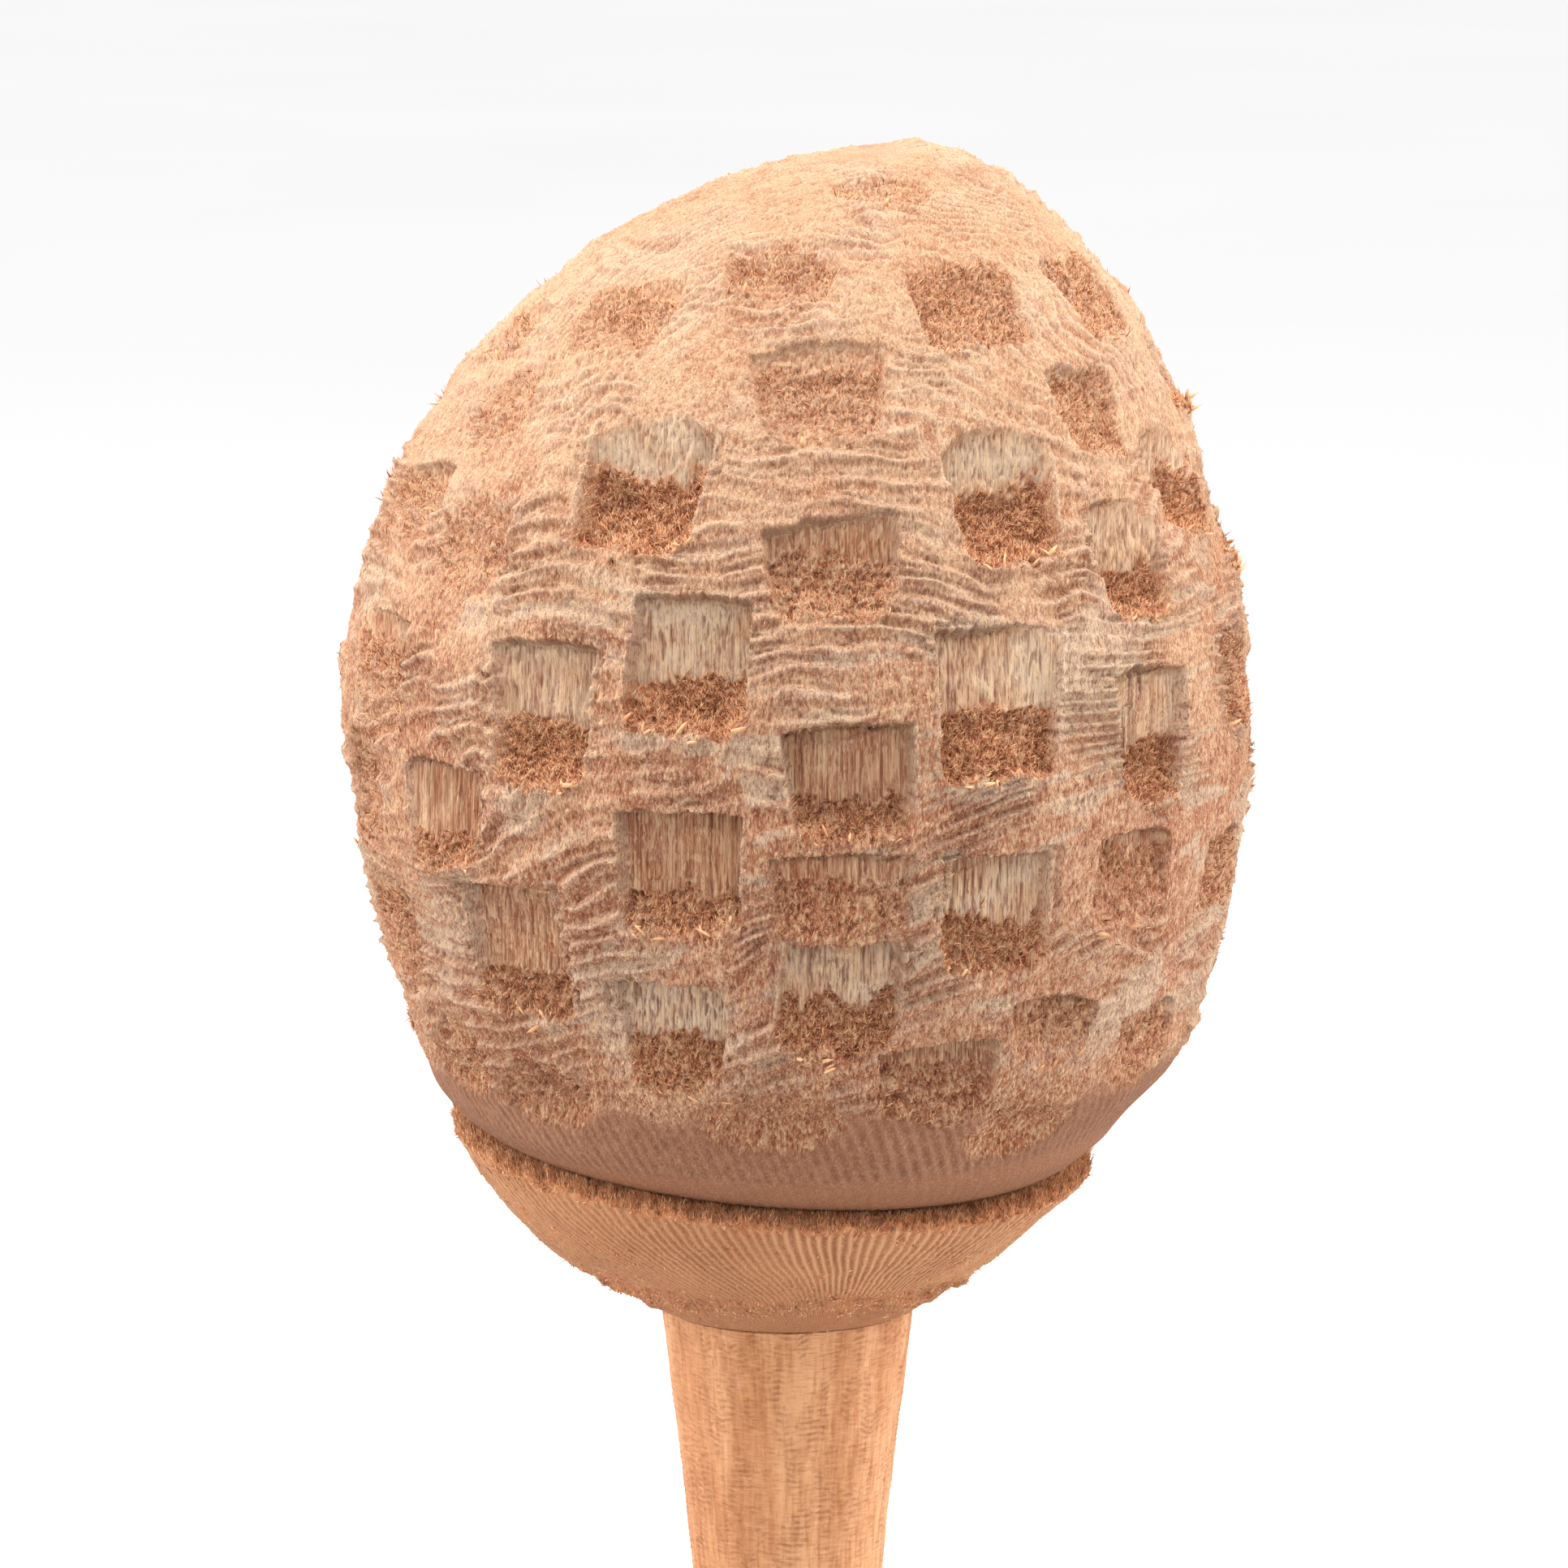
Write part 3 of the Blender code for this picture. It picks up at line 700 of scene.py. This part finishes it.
def spikes(name, roots, headings, lengths, widths, tint):
    """Closed three-sided spikes, for the shortest fibres."""
    count = len(roots)
    headings, offsets = spokes(headings, widths, 0.7)
    verts = np.zeros((count, 4, 3), np.float32)
    for i, spoke in enumerate(offsets):
        verts[:, i] = roots - headings * 0.3 + spoke
    verts[:, 3] = roots + headings * lengths[:, None]
    tris = np.array(((0, 1, 3), (1, 2, 3), (2, 0, 3), (2, 1, 0)))
    tris = (tris[None] + (np.arange(count) * 4)[:, None, None]).reshape(-1, 3)
    values = {"tint": np.repeat(tint, 4)}
    return object_from(name, verts.reshape(-1, 3), tris.ravel(), np.arange(len(tris)) * 3, values)


def make_crumbs(surface, count):
    """The torn end grain on the pits' slopes, in two pieces: short bits that stand up and out."""
    weights = surface["torn"] ** 2 * surface["foot_run"]
    rng, roots, out = scatter(surface, weights, count, 31)
    headings = out * 0.8 + np.array((0, 0, 0.7)) + rng.normal(0, 0.45, (count, 3))
    # The crumbs' tints lean dark: partly the torn end grain's own tone, partly painted shade deep
    # in the pits.
    values = [roots, headings, *drawn(rng, count, (0.25, 4.0, 0.13), (0.15, 0.15), (0.40, 0.42))]
    high = roots[:, 2] > np.median(roots[:, 2])
    return [
        spikes(name, *(value[part] for value in values))
        for name, part in (("torn_crumbs_high", high), ("torn_crumbs_low", ~high))
    ]


def make_bristles(surface, count):
    """Longer curled fibres among the crumbs and at the pits' lips."""
    weights = surface["torn"] ** 2 * surface["foot_run"]
    weights = weights + 0.25 * surface["lip"] * (1 - surface["band"])
    rng, roots, out = scatter(surface, weights, count, 35)
    headings = out * 0.75 + np.array((0, 0, 0.7)) + rng.normal(0, 0.40, (count, 3))
    # Their tints lean a little dark: partly the fibres' own tone, partly painted shade in the
    # pits.
    values = drawn(rng, count, (0.3, 4.0, 0.14), (0.14, 0.16), (0.48, 0.30), 0.25)
    return hairs("torn_fibres", roots, headings, *values)


def make_stubble(surface, count):
    """Short fibres all over the head, lying along the grain."""
    weights = (1 - 0.6 * surface["floor"]) * (1 - surface["band"]) * surface["foot_run"]
    weights = weights * (1 - 0.5 * surface["weather"]) * (1 - 0.6 * surface["crown"])
    rng, roots, out = scatter(surface, weights, count, 32)
    sense = np.where(rng.random(count) < 0.6, 1.0, -1.0)[:, None]
    headings = np.array((0, 0, 0.8)) * sense + out * 0.45 + rng.normal(0, 0.35, (count, 3))
    values = drawn(rng, count, (0.12, 4.0, 0.07), (0.12, 0.12), (0.72, 0.2))
    return spikes("grain_fibres", roots, headings, *values)


def make_splinters(surface, count):
    """Pale splinters, mostly along the pits' lower rims."""
    weights = surface["lip"] ** 3 * (1 - surface["band"]) * surface["foot_run"]
    rng, roots, out = scatter(surface, weights, count, 34)
    across = np.cross((0, 0, 1.0), out)
    sense = rng.normal(0, 0.8, count)[:, None]
    headings = across * sense + out * 0.7 + np.array((0, 0, 0.35))
    headings = headings + rng.normal(0, 0.25, (count, 3))
    values = drawn(rng, count, (0.7, 2.0, 0.45), (0.45, 0.35), (0.9, 0.12), 0.12)
    values[0] = np.minimum(values[0], LONGEST_SPLINTER)
    return hairs("splinters", roots, headings, *values)


# ---- the collar


def make_collar():
    """The bowl-shaped ring: lines fan out over its cone, and its lip and upper edge are torn."""
    top = GROOVE_HEIGHT - GAP / 2
    bore = TENON_RADIUS + GAP
    seat = SHOULDER_HEIGHT
    outline = [
        (17.4, seat), (21.6, seat + 2.8), (25.6, seat + 5.0), (27.6, seat + 6.2),
        (31.2, seat + 9.2), (35.8, seat + 13.5), (39.6, seat + 18.0), (42.7, seat + 22.4),
        (GROOVE_RADIUS + 2.2, top - 0.9), (GROOVE_RADIUS, top),
    ]
    outer = softened(spaced(outline, CELL), 6)
    hidden = [(GROOVE_RADIUS - 1, top), (bore, top), (bore, seat), (NECK_RADIUS, seat)]
    inner = spaced(hidden, HIDDEN_CELL)
    angles = turn_angles(43)
    points = ring_points(angles, (outer, collar_middle, True), (inner, None, True))
    shown = len(outer)
    base = points[:shown].copy()
    out = normals_of(points)[:shown]
    grain = grain_over(base)

    full = np.ones(len(angles))
    radius, z = outer[:, :1] * full, outer[:, 1:] * full
    above_lip = ramp(z, seat + 6.2, seat + 8.2)
    chamfer = ramp(z, seat + 21.6 + 0.9 * grain(2.0, 41), seat + 22.6)
    joint = (1 - ramp(radius, GROOVE_RADIUS, GROOVE_RADIUS + 1.0)) * chamfer
    lip = bell(z - seat - 5.8, 1.6)
    under = 1 - above_lip
    seam = ramp(z, seat, seat + 1.2)
    signed = np.mod(angles + np.pi, 2 * np.pi) - np.pi
    fan = signed - COLLAR_FAN_ANGLE
    phase = fan * COLLAR_RADIUS / COLLAR_STEP + 0.6 * grain(14.0, 42) + 0.12 * grain(2.5, 43)
    phase = phase + 0.038 * (z - seat - 24) ** 2 * np.tanh(2 * fan)
    cone = above_lip * (1 - chamfer)
    arcs = ridge(phase, 0.24) * np.maximum(cone, 0.6 * under)
    arcs = arcs * (0.6 + 0.4 * ramp(grain(9.0, 44), -0.5, 0.5))
    left = bell(angles - 1.5 * np.pi, 0.7) * bell(z - seat - 12, 7)
    right = bell(signed - 0.5 * np.pi, 0.6) * bell(z - seat - 16, 5)
    lift = (0.30 * grain(16.0, 45) + 0.12 * grain(4.0, 46) + 0.9 * left - 0.9 * right) * seam
    lift = lift + 0.15 * arcs
    lift = lift + 0.05 * grain((0.3, 1.2), 47) * seam + 0.05 * grain((0.7, 2.5), 55) * cone
    lift = lift + lip * (0.55 * grain(2.4, 48) + 0.40 * grain((0.8, 1.6), 49) - 0.1)
    lift = lift + under * seam * (0.28 * grain(2.6, 50) + 0.14 * grain(1.0, 51))
    lift = lift + chamfer * (1 - joint) * (0.35 * grain(1.2, 52) + 0.30 * grain((0.6, 1.4), 53))
    points[:shown] = base + out * lift[..., None]
    values = {
        "fuzz": np.clip(chamfer + 0.55 * lip * ramp(grain(3.0, 54), -0.1, 0.6), 0, 1),
        "ring": arcs,
        "under": under,
    }
    piece = skin("turned_collar", points, padded(values, 0, len(inner)), True)
    return piece, {"points": points[:shown], "out": out, "chamfer": chamfer, "lip": lip}


def make_groove_fibres(surface, count):
    """Torn end grain along the collar's upper edge, and a little of it at its lip."""
    weights = surface["chamfer"] + 0.25 * surface["lip"] + 0.012
    rng, roots, out = scatter(surface, weights, count, 33)
    headings = out * 0.6 + np.array((0, 0, 0.8)) + rng.normal(0, 0.35, (count, 3))
    values = drawn(rng, count, (0.2, 4.0, 0.13), (0.14, 0.16), (0.60, 0.34))
    return spikes("groove_fibres", roots, headings, *values)


# ---- the handle


def make_handle():
    """The grip with its rasped facets and chatter marks, and the tenon that the head hides."""
    shoulder = SHOULDER_HEIGHT - GAP
    palm = PALM_HEIGHT * np.linspace(0, 1, 60) ** 2
    z = np.concatenate((palm, np.linspace(PALM_HEIGHT + 0.5, shoulder, 200)))
    grip = np.stack((handle_radius(z), z + BUTT_HEIGHT), -1)
    butt = [(0.6, BUTT_HEIGHT), (BUTT_RADIUS - 0.4, BUTT_HEIGHT)]
    outer = softened(spaced(np.concatenate((butt, grip)), CELL), 3)
    rise = np.linspace(shoulder + 0.3, TENON_TOP, 40)
    tenon = np.stack((tenon_radius(rise), rise), -1)
    step = spaced([(NECK_RADIUS - 1, shoulder), (TENON_RADIUS, shoulder)], HIDDEN_CELL)
    rest = np.concatenate((step, tenon, [(6.0, TENON_TOP), (0.6, TENON_TOP)]))
    angles = turn_angles(PALM_RADIUS)
    points = ring_points(angles, (outer, None, False), (rest, None, False))
    shown = len(outer)
    base = points[:shown].copy()
    out = normals_of(base)
    height = base[..., 2]
    grain = grain_over(base)
    grown = ramp(height, 0.0, 3.0) * (1 - ramp(height, shoulder - 0.8, shoulder))
    facets = 0.26 * np.cos(9 * angles + 0.9 * grain((9.0, 60.0), 61))
    facets = facets * (0.4 + 0.6 * ramp(grain((20.0, 40.0), 62), -0.3, 0.5))
    sway = 0.22 * grain(17.0, 63) + 0.12 * grain(6.0, 64)
    chatter_phase = height / CHATTER_STEP + 0.7 * grain((2.0, 6.0), 65)
    patches = ramp(grain((1.6, 4.0), 66), -0.55, 0.45)
    chatter = np.cos(2 * np.pi * chatter_phase) * patches
    fibre = 0.05 * grain((0.35, 6.0), 67) + 0.04 * grain((0.7, 1.4), 68)
    lift = (facets + sway + 0.075 * chatter + fibre) * grown
    points[:shown] = base + out * lift[..., None]
    end = 1 - ramp(height, 0.4, 1.6)
    values = {"chatter": np.clip(0.5 - 0.5 * chatter, 0, 1) * patches, "end": end}
    return skin("rasped_handle", points, padded(values, 0, len(rest)), False)


# ---- materials


class Nodes:
    """A helper for writing node trees."""

    def __init__(self, name):
        self.material = bpy.data.materials.new(name)
        self.material.use_nodes = True
        self.tree = self.material.node_tree
        self.shader = self.tree.nodes["Principled BSDF"]
        self.place = self.add("ShaderNodeTexCoord").outputs["Object"]

    def add(self, kind, **settings):
        node = self.tree.nodes.new(kind)
        for key, value in settings.items():
            setattr(node, key, value)
        return node

    def link(self, source, target):
        if isinstance(source, bpy.types.NodeSocket):
            self.tree.links.new(source, target)
        else:
            target.default_value = source

    def fill(self, node, numbers):
        for key, number in numbers.items():
            node.inputs[key].default_value = number

    def attribute(self, name, amount=None):
        """A mesh attribute, as it is or times an amount."""
        value = self.add("ShaderNodeAttribute", attribute_name=name).outputs["Fac"]
        return value if amount is None else self.times(value, amount)

    def stretched(self, across, along):
        """Object coordinates in grains of a size: across the grain and along it, in metres."""
        mapping = self.add("ShaderNodeMapping")
        self.link(self.place, mapping.inputs["Vector"])
        mapping.inputs["Scale"].default_value = (1 / across, 1 / across, 1 / along)
        return mapping.outputs["Vector"]

    def noise(self, across, along, detail=3.0, roughness=0.55, distortion=0.0):
        """Noise with grains of a size in metres, drawn out along the wood's grain."""
        node = self.add("ShaderNodeTexNoise")
        self.link(self.stretched(across, along), node.inputs["Vector"])
        self.fill(node, {"Scale": 1.0, "Detail": detail})
        self.fill(node, {"Roughness": roughness, "Distortion": distortion})
        return node.outputs["Fac"]

    def span(self, value, low, high, most=1.0, least=0.0):
        """Runs from the least to the most as the value goes from low to high."""
        node = self.add("ShaderNodeMapRange")
        self.link(value, node.inputs["Value"])
        self.fill(node, {"From Min": low, "From Max": high, "To Min": least, "To Max": most})
        return node.outputs["Result"]

    def math(self, operation, first, second=0.0):
        node = self.add("ShaderNodeMath", operation=operation)
        self.link(first, node.inputs[0])
        self.link(second, node.inputs[1])
        return node.outputs[0]

    def times(self, first, second):
        return self.math("MULTIPLY", first, second)

    def minus(self, first, second):
        return self.math("SUBTRACT", first, second)

    def mix(self, share, first, second):
        node = self.add("ShaderNodeMix", data_type="RGBA", blend_type="MIX")
        self.link(share, node.inputs["Factor"])
        self.link(first, node.inputs["A"])
        self.link(second, node.inputs["B"])
        return node.outputs["Result"]

    def blend(self, value, low, high, first, second):
        """Goes from the first colour to the second as the value goes from low to high."""
        return self.mix(self.span(value, low, high), first, second)

    def over(self, base, *layers):
        """A base with colours laid over it in turn, each a share and a colour."""
        for share, colour in layers:
            base = self.mix(share, base, colour)
        return base

    def bump(self, height, distance):
        node = self.add("ShaderNodeBump")
        self.link(height, node.inputs["Height"])
        self.fill(node, {"Distance": distance, "Strength": 1.0})
        return node.outputs["Normal"]

    def finish(self, colour, roughness, normal=None, specular=0.18):
        self.link(colour, self.shader.inputs["Base Color"])
        self.link(roughness, self.shader.inputs["Roughness"])
        self.shader.inputs["Specular IOR Level"].default_value = specular
        if normal is not None:
            self.link(normal, self.shader.inputs["Normal"])
        return self.material


def rgb(red, green, blue):
    """A colour as it looks on a screen under the studio light, 0 to 255, in linear numbers."""
    def linear(value):
        value /= 255
        return value / 12.92 if value <= 0.04045 else ((value + 0.055) / 1.055) ** 2.4

    return (*(linear(value) / LIGHT_GAIN for value in (red, green, blue)), 1.0)


def head_wood():
    """Carved wood: paler on the crown, darker towards the bottom, grey in weathered patches and
    darker in the pits, partly by painted shade, with painted highlight on the terrace crests and
    painted bounce light on the groove's wall.
    """
    n = Nodes("carved_wood")
    split = n.add("ShaderNodeSeparateXYZ")
    n.link(n.place, split.inputs["Vector"])
    height = split.outputs["Z"]
    crown = n.span(height, 0.205, 0.268)
    blotch = n.noise(0.013, 0.020)
    warm = n.noise(0.007, 0.007)
    speck = n.noise(0.00024, 0.00070, 4.0, 0.72, 0.6)
    line = n.noise(0.00026, 0.0060, 4.0, 0.70)
    fine = n.math("ADD", speck, n.times(n.attribute("floor"), n.minus(line, speck)))
    nap = n.attribute("nap")
    calm = n.minus(1.0, n.math("MAXIMUM", n.times(crown, 0.45), n.attribute("band", 0.6)))
    plain = n.minus(1.0, n.attribute("band", 0.65))
    crown_tone = n.blend(blotch, 0.38, 0.62, rgb(230, 171, 129), rgb(246, 204, 164))
    lower_tone = n.blend(blotch, 0.38, 0.62, rgb(196, 124, 90), rgb(224, 162, 126))
    bleached = n.noise(0.0006, 0.008, 3.0, 0.6)
    grey = n.blend(bleached, 0.35, 0.65, rgb(192, 164, 138), rgb(242, 220, 194))
    floor = n.blend(warm, 0.44, 0.62, rgb(250, 226, 196), rgb(228, 180, 144))
    # browned pit floors, and the painted shadow under each pit's top edge
    floor = n.mix(n.attribute("brown_and_shadow", 0.9), floor, rgb(192, 124, 84))
    patch = n.noise(0.0030, 0.0030, 2.0)
    torn = n.blend(patch, 0.38, 0.62, rgb(188, 104, 66), rgb(232, 154, 108))
    shaded = n.noise(0.0010, 0.0040)
    band = n.blend(shaded, 0.35, 0.65, rgb(142, 90, 64), rgb(170, 114, 84))
    band = n.mix(n.attribute("ring", 0.6), band, rgb(200, 148, 114))
    base = n.over(
        n.mix(crown, lower_tone, crown_tone),
        (n.span(warm, 0.50, 0.66, 0.45), rgb(190, 116, 76)),
        (n.attribute("weather", 0.72), grey),
        (n.attribute("floor", 0.95), floor),
        # pale lines: the wood's grain lines, and on the terrace crests also a painted highlight
        (n.attribute("ring", 0.62), rgb(255, 224, 194)),
        # painted shade in the terraces' hollows and beside the contour and ripple lines
        (n.attribute("hollow_shade", 0.60), rgb(174, 96, 66)),
        # darker towards the bottom of the head
        (n.span(height, 0.178, 0.160, 0.60), rgb(168, 104, 70)),
        (n.attribute("fuzz", 0.80), torn),
        (n.attribute("band", 0.9), band),
        # a lighter groove wall: painted bounce light
        (n.attribute("wall", 0.85), rgb(182, 122, 88)),
        # dark and light fibres; on the torn slopes partly painted shade in the gaps and painted
        # highlight on the crumbs
        (n.times(n.span(nap, 0.47, 0.14, 0.66), calm), rgb(138, 64, 42)),
        (n.times(n.span(nap, 0.55, 0.86, 0.58), plain), rgb(253, 212, 168)),
        (n.times(n.span(fine, 0.51, 0.62, 0.66), calm), rgb(140, 66, 44)),
        (n.times(n.span(fine, 0.49, 0.38, 0.56), plain), rgb(253, 216, 176)),
        # a dark line along the pits' top edges: painted shadow
        (n.attribute("edge", 0.30), rgb(112, 58, 36)),
    )
    rough = n.noise(0.00022, 0.0010, 2.0, 0.7)
    normal = n.bump(n.minus(rough, n.times(fine, 1.8)), 0.00032)
    return n.finish(base, n.span(fine, 0.3, 0.7, 0.98, 0.82), normal)


def fibre_wood():
    n = Nodes("loose_fibre")
    grain = n.noise(0.0012, 0.0020, 2.0)
    dark = n.blend(grain, 0.35, 0.65, rgb(144, 74, 46), rgb(178, 104, 68))
    light = n.blend(grain, 0.35, 0.65, rgb(246, 176, 124), rgb(254, 206, 158))
    base = n.mix(n.attribute("tint"), dark, light)
    normal = n.bump(n.noise(0.0002, 0.0008, 2.0), 0.00005)
    return n.finish(base, n.span(grain, 0.3, 0.7, 0.95, 0.8), normal)


def collar_wood():
    n = Nodes("collar_wood")
    blotch = n.noise(0.010, 0.016)
    fleck = n.noise(0.00035, 0.0014, 4.0, 0.72)
    patch = n.noise(0.0006, 0.0009, 3.0, 0.7)
    torn = n.blend(patch, 0.35, 0.66, rgb(200, 116, 72), rgb(244, 172, 122))
    base = n.over(
        n.blend(blotch, 0.35, 0.65, rgb(164, 102, 64), rgb(188, 126, 84)),
        (n.span(fleck, 0.53, 0.68, 0.65), rgb(120, 70, 46)),
        (n.span(fleck, 0.46, 0.32, 0.45), rgb(222, 176, 138)),
        (n.attribute("under", 0.55), rgb(176, 118, 82)),
        (n.attribute("ring", 0.78), rgb(236, 180, 134)),
        (n.attribute("fuzz", 0.8), torn),
    )
    rough = n.noise(0.00025, 0.0010, 2.0)
    normal = n.bump(n.minus(rough, n.times(fleck, 1.6)), 0.00024)
    return n.finish(base, n.span(fleck, 0.3, 0.7, 0.92, 0.70), normal)


def handle_wood():
    n = Nodes("handle_wood")
    broad = n.noise(0.0042, 0.16, 2.0, 0.5)
    streak = n.noise(0.0009, 0.045, 4.0, 0.6)
    pores = n.noise(0.00028, 0.006, 3.0, 0.7)
    dashes = n.noise(0.0020, 0.00038, 3.0, 0.6)
    broken = n.span(n.noise(0.0010, 0.0012, 2.0), 0.36, 0.60)
    chatter = n.times(n.attribute("chatter"), broken)
    base = n.over(
        n.blend(broad, 0.40, 0.60, rgb(204, 143, 98), rgb(222, 164, 118)),
        (n.span(streak, 0.46, 0.66, 0.50), rgb(172, 106, 66)),
        (n.span(dashes, 0.54, 0.72, 0.50), rgb(150, 86, 52)),
        (n.span(dashes, 0.46, 0.32, 0.30), rgb(240, 188, 142)),
        (n.span(pores, 0.56, 0.74, 0.50), rgb(150, 92, 58)),
        (n.times(chatter, 0.62), rgb(146, 88, 56)),
        (n.attribute("end", 0.5), rgb(178, 120, 82)),
    )
    relief = n.math("ADD", n.times(dashes, -1.4), n.times(streak, -0.8))
    return n.finish(base, n.span(streak, 0.3, 0.7, 0.85, 0.62), n.bump(relief, 0.00020))


def wedge_wood():
    n = Nodes("wedge_wood")
    streak = n.noise(0.0007, 0.03, 4.0, 0.6)
    base = n.blend(streak, 0.35, 0.66, rgb(150, 100, 66), rgb(196, 142, 100))
    return n.finish(base, n.span(streak, 0.3, 0.7, 0.85, 0.6), n.bump(streak, 0.0001))


def paper_white():
    n = Nodes("floor_white")
    haze = n.noise(0.4, 0.4, 2.0)
    base = n.blend(haze, 0.3, 0.7, (0.565, 0.565, 0.565, 1.0), (0.575, 0.575, 0.575, 1.0))
    return n.finish(base, 0.9, specular=0.0)


def dress(piece, material, slot, *nodes):
    """Gives a piece its material and its body, and hides the CAD nodes that it replaces."""
    piece.data.materials.append(material)
    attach(piece, "root")
    if nodes:
        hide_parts(*nodes)


def paint(node, material):
    """Gives a CAD node a material."""
    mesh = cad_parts[node].data
    mesh.materials.clear()
    mesh.materials.append(material)


# ---- stage, light and camera


def make_floor():
    bpy.ops.mesh.primitive_plane_add(size=80, location=(0, 0, 0))
    floor = bpy.context.object
    floor.name = "floor"
    floor.data.materials.append(paper_white())


def softbox(name, place, target, size, power):
    light = bpy.data.lights.new(name, "AREA")
    light.shape = "RECTANGLE"
    light.size, light.size_y = size
    light.energy = power
    lamp = placed(name, light)
    lamp.location = place
    aim = Vector(target) - Vector(place)
    lamp.rotation_euler = aim.to_track_quat("-Z", "Y").to_euler()


def make_lights():
    middle = (0, 0, 0.22)
    softbox("ceiling_panel", (0, 0, 4.5), (0, 0, 0), (30.0, 30.0), 3050.0)
    softbox("top_softbox", (-0.1, -0.22, 1.1), middle, (0.5, 0.5), 9.0)
    softbox("left_softbox", (-1.0, 0.15, 0.50), middle, (0.8, 1.0), 11.0)
    softbox("right_softbox", (1.0, 0.15, 0.50), middle, (0.8, 1.0), 12.0)
    world = bpy.data.worlds.new("studio")
    world.use_nodes = True
    background = world.node_tree.nodes["Background"]
    background.inputs["Color"].default_value = (1.0, 1.0, 1.0, 1.0)
    background.inputs["Strength"].default_value = 0.65
    bpy.context.scene.world = world


def make_camera():
    elevation = math.radians(CAMERA_ELEVATION)
    camera = bpy.data.cameras.new("camera")
    camera.sensor_width = CAMERA_SENSOR
    camera.lens = CAMERA_LENS
    camera.clip_end = 100
    holder = placed("camera", camera)
    back = Vector((0, -math.cos(elevation), math.sin(elevation)))
    holder.location = Vector(CAMERA_AIM) + CAMERA_DISTANCE * back
    holder.rotation_euler = (math.pi / 2 - elevation, 0, 0)
    bpy.context.scene.camera = holder


def main():
    make_camera()
    head, head_surface = make_head()
    dress(head, head_wood(), "head_wood", "striking_head")
    fibre = fibre_wood()
    for crumbs in make_crumbs(head_surface, int(CRUMBS * FIBRE_SHARE)):
        dress(crumbs, fibre, "head_wood")
    dress(make_bristles(head_surface, int(BRISTLES * FIBRE_SHARE)), fibre, "head_wood")
    dress(make_stubble(head_surface, int(STUBBLE * FIBRE_SHARE)), fibre, "head_wood")
    dress(make_splinters(head_surface, SPLINTERS), fibre, "head_wood")
    collar, collar_surface = make_collar()
    dress(collar, collar_wood(), "collar_wood", "head_collar")
    groove_fibres = make_groove_fibres(collar_surface, int(GROOVE_FIBRES * FIBRE_SHARE))
    dress(groove_fibres, fibre, "collar_wood")
    handle = make_handle()
    dress(handle, handle_wood(), "handle_wood", "handle")
    wedge = wedge_wood()
    for name in ("fox_wedge_left", "fox_wedge_right"):
        paint(name, wedge)
    for name, piece in (("striking_head", head), ("head_collar", collar), ("handle", handle)):
        paint(name, piece.data.materials[0])
    make_floor()
    make_lights()
    bpy.context.scene.view_settings.view_transform = "Standard"


main()
